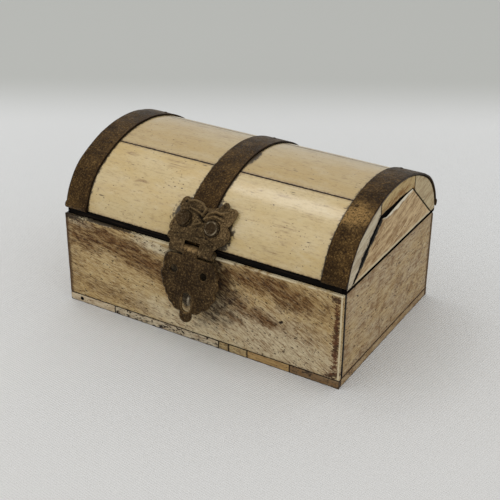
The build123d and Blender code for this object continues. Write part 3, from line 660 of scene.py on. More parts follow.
def scrap(number, tone, mottle):
    """One scrap of the front strip."""
    s = Surface("scrap_%d" % number, tone, Specular_IOR_Level=0.2)
    shift = 31.0 * number
    fibre = s.noise((4.0, 1, 0.55), 5.0, 0.75, shift=shift)
    patch = s.noise((2.4, 1, 1.0), 4.0, 0.65, shift=shift + 4)
    s.paint(BONE_BROWN, s.remap(fibre, 0.42, 0.68), 0.6)
    s.paint(BONE_BROWN, s.remap(patch, 0.45, 0.7), 0.5)
    crazed = s.noise((2.4, 1, 1.0), 4.0, 0.65, shift=shift + 7, warp=1.0)
    cracks = s.times(s.remap(crazed, 0.54, 0.58), mottle)
    s.paint(SOOT_AND_SHADE, cracks)
    pits = s.dashes((1.2, 1, 0.6), 0.4, 0.24, shift)
    s.paint(SOOT_AND_SHADE, pits, 0.8)
    ragged = s.noise(0.8, 4.0, shift=shift)
    s.paint(SOOT_AND_SHADE, s.near_edge(0.3, ragged), 0.75)
    # Darker towards the foot: dirt and painted contact shadow
    foot = s.remap(s.math("ADD", s.z, s.times(ragged, 0.5)), 0.75, 0.25)
    s.paint(SOOT_AND_SHADE, foot, 0.7)
    s.bump(fibre, 0.06)
    s.bump(s.rest(1.0, s.most(cracks, pits)), 0.1)
    return s.finish(fibre, 0.42, 0.65)


# The right end's joint in (y, z): the crack that it opens into between the front and centre pieces,
# and the centre piece's broken edge from there to the rear
END_CRACK = [(-28.1, 34.4), (-24.4, 37.4), (-18.7, 42.6), (-12.7, 46.6), (-10.4, 49.1)]
END_BREAK = [(-8.6, 47.5), (-3.0, 47.4), (3.5, 47.9), (9.0, 48.6), (12.4, 49.1)]


def end_plate_bone(name, shift, tone, streak):
    """Bone of the lid's ends, streaked from front to back, and broken along the right end's joint."""
    s = Surface(name, tone, Specular_IOR_Level=0.05)
    fibre = s.noise((1, 5.0, 0.62), 6.0, 0.8, shift=shift, turn=slope(16))
    broad = s.noise((1, 9.0, 1.6), 4.0, 0.65, shift=shift + 3, turn=slope(14))
    s.paint(BONE_BROWN, s.remap(fibre, 0.44, 0.6), streak)
    s.paint(BONE_BROWN, s.remap(broad, 0.48, 0.66), streak)
    s.paint(SOOT_AND_SHADE, s.dashes((1, 2.0, 0.9), 0.4, 0.26, shift), 0.8)
    ragged = s.noise(0.8, 4.0, shift=shift)
    s.paint(SOOT_AND_SHADE, s.near_edge(0.35, ragged), 0.7)
    s.bump(fibre, 0.14)
    if name == "end_right_centre":
        foot = s.remap(s.math("ADD", s.z, s.times(ragged, 0.6)), 35.3, 34.7)
        s.paint(BONE_WHITE, foot, 0.75)
        broken = s.seam(END_BREAK, 1.0, s.noise(1.1, 4.0, 0.7, shift=shift + 6))
        s.paint(FRESH_BREAK, broken, 0.95)
        s.bump(broken, 0.2)
    if name == "end_right_top":
        golden = s.spot((0, 2.0, 49.4), (FAR, 11.0, 2.4), soft=0.4, ragged=s.noise(1.6, 4.0))
        golden = s.times(golden, s.remap(fibre, 0.42, 0.55))
        s.paint(BONE_GOLD, golden, 0.85)
    if name in ("end_right_centre", "end_right_front"):
        ragged = s.noise(1.0, 4.0, 0.7, shift=shift + 8)
        s.paint(LAC_AND_SHADE, s.most(s.seam(END_CRACK[:2], 0.8, ragged), s.seam(END_CRACK[1:], 1.6, ragged)))
    return s.finish(fibre, 0.42, 0.65)


def two_tone(name, ground, tone, low, depth, smooth, coarse, grain, **fixed):
    """A plain surface that takes on a tone where its grain, a noise of the given kind, is high."""
    s = Surface(name, ground, **fixed)
    grain = s.noise(*grain)
    s.paint(tone, s.remap(grain, low, 0.75))
    s.bump(grain, depth)
    return s.finish(grain, smooth, coarse)


def bare_wood():
    """Old softwood of the box's walls."""
    s = Surface("wood", (0.30, 0.17, 0.085))
    rings = s.noise(along(0, 30.0, 1.1), 5.0, 0.6, warp=0.4)
    fibre = s.noise(along(0, 9.0, 0.22), 3.0, 0.7, shift=4)
    s.paint((0.17, 0.085, 0.04), s.remap(rings, 0.35, 0.7))
    s.paint((0.09, 0.045, 0.022), s.remap(fibre, 0.5, 0.75), 0.5)
    s.bump(fibre, 0.06)
    return s.finish(fibre, 0.6, 0.85)


def aged_brass(name, dark, middle, light, shift, wear, edges, *bare_and_highlit_at):
    """Brass gone brown and speckled, golden where it's rubbed, most of all in the given places, of which the
    one on the barrel is a painted highlight. Its edges are lightened by a share of 0 to 1, as rubbing and
    painted highlight, or soiled where that share is below 0. The ridges of its relief get a painted highlight
    and its hollows painted shade."""
    s = Surface(name + "_brass", dark, Metallic=0.6, Specular_IOR_Level=0.08)
    broad = s.noise(8.0, 4.0, 0.6, shift=shift)
    mottle = s.noise(1.9, 5.0, 0.75, shift=shift + 3)
    speck = s.noise(0.58, 4.0, 0.85, shift=shift + 8)
    s.paint(middle, s.remap(broad, 0.36, 0.66))
    s.paint(middle, s.remap(mottle, 0.45, 0.72), 0.5)
    s.paint(SOOT_AND_SHADE, s.remap(speck, 0.48, 0.38), 0.85)
    s.paint(light, s.remap(speck, 0.53, 0.63), s.remap(broad, 0.3, 0.7, 0.5, 1.0), wear)
    # Rubbed bare patches, and a painted highlight on the hasp's barrel
    for place, radii in bare_and_highlit_at:
        bare_and_highlight = s.spot(place, radii, soft=0.6, ragged=s.noise(3.0, 4.0))
        bare_and_highlight = s.times(bare_and_highlight, s.remap(speck, 0.38, 0.54))
        s.paint(tuple(1.25 * share for share in light), bare_and_highlight, 0.75)
    pits = s.dashes(1.3, 0.45, 0.26, shift)
    s.paint(SOOT_AND_SHADE, pits, 0.85)
    ragged = s.noise(0.7, 3.0, shift=shift + 5)
    height = s.attribute("relief")
    # Painted shade in the relief's hollows: the grooves beside the ridges and round the nails, and the flap's
    # sunk field
    s.paint(LAC_AND_SHADE, s.remap(height, -0.13, -0.28), 0.85)
    # The edges and hole rims lightened as rubbing and painted highlight, and the relief's ridges given a
    # painted highlight
    rim = s.near_edge(0.4, ragged)
    s.paint(SOOT_AND_SHADE, rim, max(0.0, -edges))
    rubbed_and_highlit_rim = s.times(rim, s.remap(mottle, 0.4, 0.6), max(0.0, edges))
    s.paint(light, s.most(rubbed_and_highlit_rim, s.remap(height, 0.1, 0.4, 0.0, 0.28)))
    s.bump(speck, 0.14)
    s.bump(s.rest(mottle, s.times(pits, 0.6)), 0.16)
    return s.finish(mottle, 0.36, 0.6, high=0.75)


def velvet():
    """Dark red velvet of the lining."""
    sheen = {"Sheen_Weight": 0.2, "Sheen_Roughness": 0.3}
    s = Surface("velvet", (0.115, 0.007, 0.011), Specular_IOR_Level=0.05, **sheen)
    pile = s.noise(0.6, 4.0, 0.75)
    crush = s.noise((14.0, 8.0, 8.0), 4.0, 0.6)
    s.paint((0.17, 0.011, 0.016), s.remap(crush, 0.3, 0.75))
    s.paint((0.05, 0.003, 0.005), s.remap(pile, 0.45, 0.65), 0.6)
    s.bump(pile, 0.2)
    return s.finish(pile, 0.85, 1.0)


# Places where the brass is rubbed bare, and the barrel's painted highlight: middle and half sizes
knuckle_highlight = ((0.0, pin_y - 1.3, pin_z + 0.9), (2.5, 0.9, 0.6))
staple_slot = ((0.0, 0.0, sum(span("staple"))[2] / 2), (1.8, FAR, 2.7))
strap_patch = ((46.3, -19.0, 51.4), (4.6, 4.4, 3.2))

# Each brass: dark, middle and light tone, shift, wear, edges, lightened by rubbing and painted highlight
# above 0 and soiled below it, and the places where it is bare or has a painted highlight
BRASS = {
    "strap": ((0.030, 0.016, 0.006), (0.081, 0.045, 0.015), (0.32, 0.195, 0.072), 0.0, 0.65, -0.7,
              strap_patch),
    "leaf": ((0.050, 0.032, 0.014), (0.14, 0.089, 0.040), (0.38, 0.26, 0.125), 21.0, 0.8, 0.35, knuckle_highlight),
    "flap": ((0.028, 0.016, 0.0065), (0.067, 0.040, 0.016), (0.28, 0.182, 0.081), 33.0, 0.8, 0.3,
             knuckle_highlight, staple_slot),
    "nail": ((0.026, 0.016, 0.007), (0.066, 0.040, 0.017), (0.36, 0.29, 0.19), 54.0, 0.25, 0.9),
    "hinge": ((0.09, 0.06, 0.03), (0.22, 0.15, 0.07), (0.5, 0.36, 0.18), 42.0, 0.6, 0.6),
}
# Each scrap of the front strip, from left to right: its tone, and how mottled it is
SCRAPS = [((0.52, 0.43, 0.29), 0.0), (BONE_GREY, 1.0), ((0.36, 0.27, 0.13), 0.45),
          ((0.42, 0.32, 0.16), 0.3), ((0.37, 0.245, 0.10), 0.1), ((0.17, 0.11, 0.055), 0.8)]
# Each row of the lid's panels: how warm it is in the left and in the right bay, and how much painted shade
# darkens it
PANELS = {"front": (0.15, 0.15, 0.0), "top": (0.15, 0.35, 0.3), "rear": (0.15, 0.15, 0.12)}
# Each piece of the lid's ends: its tone, and how streaked it is
ENDS = {"front": ((0.50, 0.44, 0.32), 0.35), "top": ((0.45, 0.34, 0.165), 0.6),
        "rear": ((0.48, 0.40, 0.25), 0.4), "centre": ((0.53, 0.395, 0.225), 0.68)}

brass = {name: aged_brass(name, *row) for name, row in BRASS.items()}
lac_surface = two_tone("lac", LAC_AND_SHADE, (0.012, 0.009, 0.007), 0.5, 0.12, 0.45, 0.75, (1.2, 4.0),
                       Specular_IOR_Level=0.0)
rail_surface = two_tone("black_wood", LAC_AND_SHADE, (0.016, 0.011, 0.008), 0.45, 0.15, 0.42, 0.7,
                        (along(0, 9.0, 0.5), 5.0, 0.65), Specular_IOR_Level=0.02)
wire_surface = two_tone("wire", (0.36, 0.31, 0.23), (0.10, 0.07, 0.04), 0.5, 0.03, 0.25, 0.45,
                        (0.5, 4.0, 0.6), Metallic=1.0)
velvet_surface = velvet()
plain_bone = side_plate_bone("plain_bone", 50.0, 0, BONE_PLAIN)
wall_bone = {
    "front": front_plate_bone(),
    "left": side_plate_bone("left_bone", 80.0, 1, (0.44, 0.35, 0.22)),
    "right": side_plate_bone("right_bone", 70.0, 1, (0.40, 0.31, 0.19)),
    "back": side_plate_bone("back_bone", 90.0, 0, BONE_PLAIN),
}
scrap_bone = [scrap(n, *row) for n, row in enumerate(SCRAPS)]
panel_ivory = {
    (row, bay): ivory("ivory_%s_%s" % (row, bay), 7.0 * n + 3 * m, warmth[m], shade)
    for n, (row, (*warmth, shade)) in enumerate(PANELS.items())
    for m, bay in enumerate(("left", "right"))
}
end_bone = {
    (side, part): end_plate_bone("end_%s_%s" % (side, part), 130.0 + 9 * n + 3 * m, *row)
    for n, side in enumerate(("left", "right"))
    for m, (part, row) in enumerate(ENDS.items())
}
by_slot = {
    "wood": bare_wood(), "black_wood": rail_surface, "lac": lac_surface, "steel": wire_surface,
    "strap_brass": brass["strap"], "hasp_brass": brass["leaf"], "hinge_brass": brass["hinge"],
    "bone": plain_bone, "plinth_bone": plain_bone, "polished_bone": plain_bone, "end_bone": plain_bone,
}
for row in frame["record"]["subparts"]:
    node = frame["nodes"][row["node"]]
    if row["material_slot"] in by_slot:
        node.data.materials.clear()
        node.data.materials.append(by_slot[row["material_slot"]])
    node.data.polygons.foreach_set("use_smooth", [True] * len(node.data.polygons))


# Shapes of the pieces

FLAT_STEPS = (0.4, 0.4, 0.3)  # the size of the faces of a plate, along it, across it and in its thickness
ARCH_STEPS = (0.4, 0.35, 0.3)
PAD_STEPS = (0.8, 0.8, 0.3)
BACK_VOXEL = 0.22
END_VOXEL = 0.16
HASP_VOXEL = 0.13
FACING = {
    "front": np.array([[1, 0, 0], [0, 0, -1], [0, 1, 0]]),
    "back": np.array([[-1, 0, 0], [0, 0, 1], [0, 1, 0]]),
    "left": np.array([[0, 0, -1], [-1, 0, 0], [0, 1, 0]]),
    "right": np.array([[0, 0, 1], [1, 0, 0], [0, 1, 0]]),
}


def plate(name, side, box, material, body, replaces=(), seed=0, wear=0.13, chips=0.25, corner=0.0,
          fill=(0, 0, 0, 0)):
    """A flat piece that faces one side, its edges worn and chipped, and its lower left corner round
    if given a radius. It reaches into the joints on its left, right, lower and upper side where fill
    is 1."""
    turn = FACING[side]
    corners = np.array(box) @ turn
    low, high = corners.min(0), corners.max(0)
    left, right, lower, upper = (joint_fill * share for share in fill)
    low, high = low - (left, lower, 0), high + (right, upper, 0)
    points, faces, edge, top = worn_box(low, high, FLAT_STEPS, wear, chips, seed)
    if corner:
        centre = low[:2] + corner
        off = np.minimum(points[:, :2] - centre, 0)
        reach = np.hypot(off[:, 0], off[:, 1])
        share = np.where(reach > corner, corner / np.maximum(reach, 1e-9), 1.0)
        points[:, :2] += off * (share - 1)[:, None]
    points[:, 2] -= top * 0.04 * (1 + rough(points, 7.0, seed))
    return new_piece(name, points @ turn.T, faces, material, body, replaces, edge)


def arch_slab(name, x_range, run_range, insets, material, replaces, seed, wear=0.16, chips=0.3):
    """A curved piece of the lid between two insets, its edges worn and chipped."""
    low = (x_range[0], run_range[0], -insets[1])
    high = (x_range[1], run_range[1], -insets[0])
    points, faces, edge, top = worn_box(low, high, ARCH_STEPS, wear, chips, seed)
    points[:, 2] -= top * 0.025 * (1 + rough(points, 8.0, seed))
    placed = on_arch(points[:, 0], points[:, 1], -points[:, 2])
    return new_piece(name, placed, faces, material, "lid", replaces, edge)


def edge_distance(points, normals, outward):
    """How far each point lies from the nearest edge of a flat or bent sheet's outline."""
    flat = np.abs(np.einsum("ij,ij->i", normals, outward))
    rim = points[flat < 0.6]
    tree = kdtree.KDTree(len(rim))
    for n, point in enumerate(rim):
        tree.insert(point, n)
    tree.balance()
    return np.array([tree.find(point)[2] for point in points])


def recut(name, node, outward, material, body, voxel, relief, smooth=2, fill=0.0):
    """A CAD node with its edges eased and relief added: relief gives the height at each point. Its
    sides reach into the joints around it by fill."""
    points, faces = remeshed(*node_arrays(node), voxel, smooth)
    normals = normals_of(points, faces)
    ways = outward(points)
    edge = edge_distance(points, normals, ways)
    facing = np.clip(np.einsum("ij,ij->i", normals, ways), 0, 1)
    height = relief(points, edge)
    points = points + normals * (facing * height + (1 - facing) * fill)[:, None]
    return new_piece(name, points, faces, material, body, [node], edge, height * (facing > 0.5))


def towards(x, y, z):
    """A function that gives the same direction at every point."""
    return lambda points: np.tile(np.array([x, y, z], float), (len(points), 1))


# Base


def base_plates():
    """The bone plates of the box."""
    fills = {"front": (0, 0, 1, 0), "left": (1, 0, 1, 0), "right": (0, 1, 1, 0)}
    for n, (side, fill) in enumerate(fills.items()):
        node = "bone_" + side
        plate(side + "_plate", side, span(node), wall_bone[side], "base", [node], 1 + n, fill=fill)
    recut("back_plate", "bone_back", towards(0, 1, 0), wall_bone["back"], "base", BACK_VOXEL,
          lambda points, edge: -0.04 * (1 + rough(points, 7.0, 4)))


def plinth():
    """The strips round the foot of the box, the front one in scraps."""
    for n, (low, high) in enumerate(loose_parts("plinth_front")):
        replaced, corner = ([], 0) if n else (["plinth_front"], worn_corner)
        plate("plinth_scrap_%d" % (n + 1), "front", (low, high), scrap_bone[n], "base",
              replaced, 10 + n, corner=corner, fill=(0, 0, 0, 1))
    fills = {"back": (0, 0, 0, 1), "left": (1, 1, 0, 1), "right": (1, 1, 0, 1)}
    for n, (side, fill) in enumerate(fills.items()):
        node = "plinth_" + side
        plate(side + "_plinth", side, span(node), wall_bone[side], "base", [node], 20 + n,
              fill=fill)


def peg():
    """The dark peg at the left end of the front strip, its face a little rounded."""
    low, high = span("plinth_peg")
    radius = (high[0] - low[0]) / 2
    profile = [(radius, 0), (radius, 3.9), (radius * 0.85, 4.02), (radius * 0.4, 4.08), (0.01, 4.09)]
    points, faces = turned(profile, 32)
    points = points @ FACING["front"].T
    middle = (low + high) / 2
    points += np.array([middle[0], high[1], middle[2]])
    new_piece("peg", points, faces, lac_surface, "base", ["plinth_peg"])


# Lid


def panels():
    """The six polished panels."""
    foot = run_to(rim_top, panel_inset + bone)
    middle_radius = crown_radius - panel_inset
    row_angle = math.asin(top_row / middle_radius)
    half_gap = (joint / 2 - joint_fill) / middle_radius
    top_run = crown_radius * (row_angle - half_gap)
    side_run = crown_radius * (row_angle + half_gap)
    runs = {"front": (-foot, -side_run), "top": (-top_run, top_run), "rear": (side_run, foot)}
    insets = (panel_inset, panel_inset + bone)
    for n, (row, run) in enumerate(runs.items()):
        for m, bay in enumerate(("left", "right")):
            node = "lid_bone_%s_%s" % (row, bay)
            low, high = span(node)
            arch_slab("panel_%s_%s" % (row, bay), (low[0], high[0]), run, insets, panel_ivory[row, bay],
                      [node], 30 + 2 * n + m)


def bead_profile(foot, lip):
    """Half a strap's outer side, from its crown to its foot, as (run, height above its inner side)."""
    middle = foot - lip
    start = math.asin(strap / lip)
    along_top = [(run, strap) for run in ticks(0, middle - lip * math.cos(start), 0.4)]
    around = [(middle - lip * math.cos(turn), lip * math.sin(turn)) for turn in ticks(start, math.pi, 0.16)]
    return along_top + around[1:]


def shell_faces(rows, columns):
    """The faces of a closed shell between an outer grid of points and an inner one listed after it."""
    outer = np.arange(rows * columns).reshape(rows, columns)
    inner = outer + rows * columns
    faces = quads_between(outer[:-1, :-1], outer[1:, :-1], outer[1:, 1:], outer[:-1, 1:])
    faces += quads_between(inner[:-1, :-1], inner[:-1, 1:], inner[1:, 1:], inner[1:, :-1])
    faces += quads_between(outer[0, :-1], outer[0, 1:], inner[0, 1:], inner[0, :-1])
    faces += quads_between(outer[-1, 1:], outer[-1, :-1], inner[-1, :-1], inner[-1, 1:])
    faces += quads_between(outer[1:, 0], outer[:-1, 0], inner[:-1, 0], inner[1:, 0])
    faces += quads_between(outer[:-1, -1], outer[1:, -1], inner[1:, -1], inner[:-1, -1])
    return faces


def strap_piece(name, node, lip, seed):
    """One strap, hammered and a little uneven; an end strap has a rolled lip at each foot."""
    low, high = span(node)
    foot = run_to(rim_top, 0.0)
    half = bead_profile(foot, lip) if lip else [(run, strap) for run in ticks(0, foot, 0.4)]
    run, rise = np.array([(-place, height) for place, height in half[::-1]] + half[1:]).T
    near = ticks(0, strap_ease, 0.04)
    across = np.concatenate([ticks(low[0], high[0], 0.35), low[0] + near, high[0] - near])
    across = np.unique(across.round(4))
    edge = np.minimum(across - low[0], high[0] - across)
    drop = strap_ease - np.sqrt(np.maximum(strap_ease**2 - np.maximum(strap_ease - edge, 0) ** 2, 0))
    grid_x, grid_run = np.meshgrid(across, run, indexing="ij")
    sample = np.stack([grid_x.ravel(), grid_run.ravel(), np.full(grid_x.size, seed * 9.0)], axis=1)
    dents = 0.035 * rough(sample, 3.2, seed) + 0.02 * noise(sample, 9.0, seed + 4)
    height = np.maximum(rise[None, :] - drop[:, None] + dents.reshape(grid_x.shape) - 0.04, 0.03)
    wander = 0.09 * noise(sample, 4.0, seed + 2).reshape(grid_x.shape)
    grid_x = grid_x + wander * np.sign(grid_x - (low[0] + high[0]) / 2)
    outer = on_arch(grid_x.ravel(), grid_run.ravel(), (strap - height).ravel())
    inner = on_arch(grid_x.ravel(), grid_run.ravel(), np.full(grid_x.size, strap))
    both = np.tile(np.repeat(edge, len(run)), 2)
    new_piece(name, np.concatenate([outer, inner]), shell_faces(*grid_x.shape), brass["strap"], "lid",
              [node], both)


def straps():
    """The three straps."""
    strap_piece("left_strap", "strap_left", 1.3, 41)
    strap_piece("middle_strap", "strap_middle", 0, 42)
    strap_piece("right_strap", "strap_right", 1.3, 43)


def front_rail():
    """The lid's black front rail."""
    node = "lid_rim_front"
    plate("front_rail", "front", span(node), rail_surface, "lid", [node], 47)


def end_mosaics():
    """The bone pieces of the lid's ends."""
    for side, way in (("left", -1), ("right", 1)):
        for n, part in enumerate(("front", "top", "rear", "centre")):
            node = "end_%s_%s" % (side, part)
            recut("%s_end_%s" % (side, part), node, towards(way, 0, 0), end_bone[side, part], "lid",
                  END_VOXEL, lambda points, edge, n=n: -0.05 * (1 + rough(points, 3.0, 50 + n)),
                  fill=joint_fill)


# Hasp


def leaf_place(points):
    """Points in the leaf's own frame: across, up from the pin, and out of the lid."""
    off = points - np.array([0, pin_y, pin_z])
    return np.stack([off[:, 0], off @ leaf_up, off @ leaf_out], axis=1)


def from_polyline(flat, corners):
    """The distance of points in a plane from a broken line."""
    best = np.full(len(flat), 1e9)
    for start, end in zip(corners, corners[1:]):
        start, end = np.array(start, float), np.array(end, float)
        run = end - start
        share = np.clip((flat - start) @ run / (run @ run), 0, 1)
        away = flat - start - share[:, None] * run
        best = np.minimum(best, np.hypot(away[:, 0], away[:, 1]))
    return best


def ridge(flat, corners, width, height):
    """A rounded ridge along a broken line, with a groove on each side."""
    away = from_polyline(flat, corners) / width
    return height * np.exp(-(away**2)) - 0.12 * np.exp(-(((away - 1.9) / 0.7) ** 2))


# The ridges of the leaf's ornament: corners across and up from the pin, width and height
LEAF_RIDGES = [
    ([(-5.1, 14.6), (-3, 15.1), (-1.1, 14.9), (0.6, 14.2), (1.3, 13.2), (0.9, 11.2)], 0.4, 0.5),
    ([(-4.1, 12.7), (-2, 12.2), (0, 11.7), (0.9, 11.2)], 0.38, 0.42),
    ([(1.6, 10.2), (2.3, 11.5), (3.4, 12.6), (5, 13.3), (6.9, 13.1), (9.1, 14)], 0.4, 0.5),
    ([(2, 10.1), (3.2, 11.1), (4.8, 11.8), (6.6, 11.6), (8.5, 11.1)], 0.38, 0.42),
    ([(-1.6, 7.6), (-0.8, 9.8), (1, 8.8), (-1.6, 7.6)], 0.45, 0.42),
    ([(-6.5, 3.2), (-3.5, 3.9), (0, 3.6), (3.5, 3.9), (6.5, 3.2)], 0.38, 0.22),
]


def leaf_relief(points, edge):
    """The leaf's stamped ornament: two curled brows, a boss between them, and a rim."""
    flat = leaf_place(points)[:, :2]
    total = sum(ridge(flat, *row) for row in LEAF_RIDGES)
    for x, up in nail_places.values():
        away = np.hypot(flat[:, 0] - x, flat[:, 1] - up)
        total -= 0.17 * np.exp(-(((away - 2.55) / 0.25) ** 2))
    total += 0.14 * np.exp(-(((edge - 0.55) / 0.3) ** 2)) - 0.07 * np.clip(1 - edge / 0.35, 0, 1)
    total = np.where(flat[:, 1] < 2.2, 0, total)
    return total - 0.1 + 0.03 * rough(points, 1.6, 61)


def flap_relief(points, edge):
    """The flap's raised rim, the sunk field inside it, and its pits."""
    total = 0.16 * np.exp(-(((edge - 0.6) / 0.32) ** 2)) - 0.08 * np.clip(1 - edge / 0.3, 0, 1)
    total -= 0.08 * np.clip((edge - 1.4) / 1.5, 0, 1)
    return total - 0.06 + 0.035 * rough(points, 1.5, 71)


def barrel_and_leaf_out(points):
    """Which way the leaf's surface faces: round the barrel near the pin, and off the lid above it."""
    place = leaf_place(points)
    around = points - np.array([0, pin_y, pin_z])
    around[:, 0] = 0
    around /= np.maximum(np.linalg.norm(around, axis=1), 1e-9)[:, None]
    return np.where((place[:, 1] < 1.8)[:, None], around, leaf_out)


def hasp_sheets():
    """The hasp's leaf on the lid, and its flap."""
    flap_out = towards(0, -math.cos(flap_tilt), -math.sin(flap_tilt))
    recut("leaf", "hasp_leaf", barrel_and_leaf_out, brass["leaf"], "lid", HASP_VOXEL,
          leaf_relief, 1)
    recut("flap", "hasp_flap", flap_out, brass["flap"], "hasp_flap", HASP_VOXEL, flap_relief, 1)


# A nail from its shank to the middle of its head, as (share of its radius, height)
NAIL_PROFILE = [(0.8, -0.5), (0.98, 0.05), (1, 0.35), (0.97, 0.62), (0.88, 0.78), (0.77, 0.74), (0.7, 0.62),
                (0.55, 0.6), (0.3, 0.62), (0, 0.63)]


def hasp_nails():
    """The leaf's two nails: the right one a flat disc with a rim, the left one hammered flat."""
    radius = nail_places["left"][0] - span("hasp_nails")[0][0]
    profile = np.array([(radius * share or 0.01, height) for share, height in NAIL_PROFILE])
    smooth = [start + part * (end - start) for start, end in zip(profile, profile[1:])
              for part in ticks(0, 1, 0.34)[:-1]] + [profile[-1]]
    for name, crush in (("left", 0.45), ("right", 0.05)):
        x, up = nail_places[name]
        points, faces = turned(smooth, 72)
        # off_rim serves as the nail's edge mask in its material, which paints a highlight on the right nail's
        # rim; the crush keeps it off the left one
        off_rim = np.abs(np.hypot(points[:, 0], points[:, 1]) - radius * 0.88) + crush
        lumps = rough(points, 1.3, 80)
        points[:, :2] *= (1 + crush * 0.25 * noise(points, 1.6, 83))[:, None]
        points[:, 2] += crush * lumps * np.clip(points[:, 2], 0, 1)
        seat = np.array([x, pin_y, pin_z]) + leaf_up * up + leaf_out * barrel_radius
        leaf_axes = np.stack([np.array([1.0, 0, 0]), leaf_up, leaf_out])
        new_piece("nail_" + name, points @ leaf_axes + seat, faces, brass["nail"], "lid",
                  ["hasp_nails"] if name == "left" else [], off_rim)


# Linings


def floor_lining():
    """The velvet pad on the floor, a little crowned and rounded at its edges."""
    low, high = span("lining_floor")
    points, faces, edge, top = worn_box(low, high, PAD_STEPS, 0.45, 0.0, 90)
    points[:, 2] += top * (0.25 * np.clip(edge / 6, 0, 1) - 0.2 + 0.06 * rough(points, 6.0, 91))
    pad = new_piece("floor_pad", points, faces, velvet_surface, "base", ["lining_floor"])


def rounded_loop(half_x, half_y, corner, step):
    """Points round a rectangle with round corners, and the outward direction at each."""
    places, ways = [], []
    for quarter in range(4):
        turn = quarter * math.pi / 2
        sx, sy = ((1, 1), (-1, 1), (-1, -1), (1, -1))[quarter]
        centre = np.array([sx * (half_x - corner), sy * (half_y - corner)])
        for angle in ticks(turn, turn + math.pi / 2, 0.3):
            way = np.array([math.cos(angle), math.sin(angle)])
            places.append(centre + corner * way)
            ways.append(way)
        length = 2 * ((half_x, half_y)[quarter % 2] - corner)
        for share in ticks(0, 1, step / length)[1:-1]:
            places.append(centre + corner * way + share * length * turned_way(way))
            ways.append(way)
    return np.array(places), np.array(ways)


def turned_way(way):
    """A direction in plan, a quarter turn further round."""
    return np.array([-way[1], way[0]])


def wall_lining():
    """The velvet round the walls, one strip with its upper edge turned over."""
    low, high = span("lining_walls")
    places, ways = rounded_loop(high[0], high[1], 1.2, 1.2)
    fold = high[2] - 0.5
    rise = np.array([low[2], *ticks(low[2] + 0.3, fold, 1.2), *(fold + 0.5 * np.sin([0.5, 1.0, 1.57]))])
    near = np.clip((rise - high[2] + 0.5) / 0.5, 0, 1)
    half = lining / 2 * np.sqrt(np.maximum(1 - near**2, 0.02))
    profile = [(z, lining / 2 - h) for z, h in zip(rise, half)]
    profile += [(z, lining / 2 + h) for z, h in zip(rise, half)][::-1]
    rings = []
    for z, depth in profile:
        ring = np.stack([*(places - ways * depth).T, np.full(len(places), z)], axis=1)
        soft = 0.12 * rough(ring, 7.0, 95) * (depth > lining / 2)
        ring[:, :2] -= ways * soft[:, None]
        rings.append(ring)
    points = np.concatenate(rings)
    index = np.arange(len(points)).reshape(len(rings), len(places))
    ahead = np.roll(index, -1, axis=1)
    above, above_ahead = np.roll(index, -1, axis=0), np.roll(ahead, -1, axis=0)
    faces = quads_between(index, ahead, above_ahead, above)
    piece = new_piece("wall_velvet", points, faces, velvet_surface, "base", ["lining_walls"])


def arch_z(y, inset):
    """The height of one of the lid's layers at a distance from its middle line."""
    crown_half = (crown_radius - inset) * math.sin(haunch_angle)
    off = np.abs(y)
    crown = crown_z + np.sqrt(np.maximum((crown_radius - inset) ** 2 - off**2, 0))
    haunch = spring_z + np.sqrt(np.maximum((haunch_radius - inset) ** 2 - (off - haunch_y) ** 2, 0))
    return np.where(off < crown_half, crown, haunch)


def lid_velvet():
    """The velvet inside the lid: one sheet over the arch and one on each end."""
    low, high = span("lid_lining")
    foot = run_to(low[2], lining_inset)
    insets = (lining_inset, lining_inset + lining)
    band = arch_slab("lid_velvet_arch", (low[0], high[0]), (-foot, foot), insets, velvet_surface,
                     ["lid_lining"], 97, wear=0.3, chips=0.0)
    inset = lining_inset + lining + 0.05
    half = haunch_y + math.sqrt((haunch_radius - inset) ** 2 - (low[2] - spring_z) ** 2) - 0.02
    for name, x, way in (("left", low[0], 1), ("right", high[0], -1)):
        points, faces, edge, top = worn_box((-half, 0, 0), (half, 1, lining), (0.8, 0.04, 0.3), 0.0, 0.0, 98)
        reach = arch_z(points[:, 0], inset) - low[2]
        y, z = points[:, 0], low[2] + points[:, 1] * reach
        placed = np.stack([x + way * points[:, 2], y * way, z], axis=1)
        piece = new_piece("lid_velvet_" + name, placed, faces, velvet_surface, "lid")


for build in (base_plates, plinth, peg, panels, straps, front_rail, end_mosaics, hasp_sheets, hasp_nails,
              floor_lining, wall_lining, lid_velvet):
    build()


# Camera, light and floor


def from_angles(yaw, pitch, roll):
    """A camera's rotation, from angles in degrees."""
    yaw, pitch, roll = (math.radians(angle) for angle in (yaw, pitch, roll))
    forward = Vector((-math.sin(yaw) * math.cos(pitch), math.cos(yaw) * math.cos(pitch), -math.sin(pitch)))
    right = Vector((math.cos(yaw), math.sin(yaw), 0))
    up = right.cross(forward)
    right, up = math.cos(roll) * right + math.sin(roll) * up, math.cos(roll) * up - math.sin(roll) * right
    return Matrix((right, up, -forward)).transposed()


CAMERA_PLACE = (167.99, -283.12, 195.48)
CAMERA_ANGLES = (30.693, 28.337, 0.537)  # yaw, pitch and roll
camera_data = bpy.data.cameras.new("camera")
camera_data.sensor_width = 36.0
camera_data.lens = 80.20
camera_data.clip_start = 0.01
camera_data.clip_end = 20.0
camera = bpy.data.objects.new("camera", camera_data)
camera.matrix_world = Matrix.Translation(Vector(CAMERA_PLACE) * MM) @ from_angles(*CAMERA_ANGLES).to_4x4()
bpy.context.scene.collection.objects.link(camera)
bpy.context.scene.camera = camera


def lamp(name, place, aim, size, power):
    """A square area lamp; places in millimetres, power in watts."""
    data = bpy.data.lights.new(name, "AREA")
    data.shape = "SQUARE"
    data.size = size * MM
    data.energy = power
    light = bpy.data.objects.new(name, data)
    light.location = Vector(place) * MM
    light.rotation_euler = (Vector(aim) - Vector(place)).to_track_quat("-Z", "Y").to_euler()
    bpy.context.scene.collection.objects.link(light)


lamp("key", (-380, -540, 640), (0, 0, 25), 600, 0.6)
lamp("top", (-275, 80, 705), (20, -10, 50), 150, 0.32)


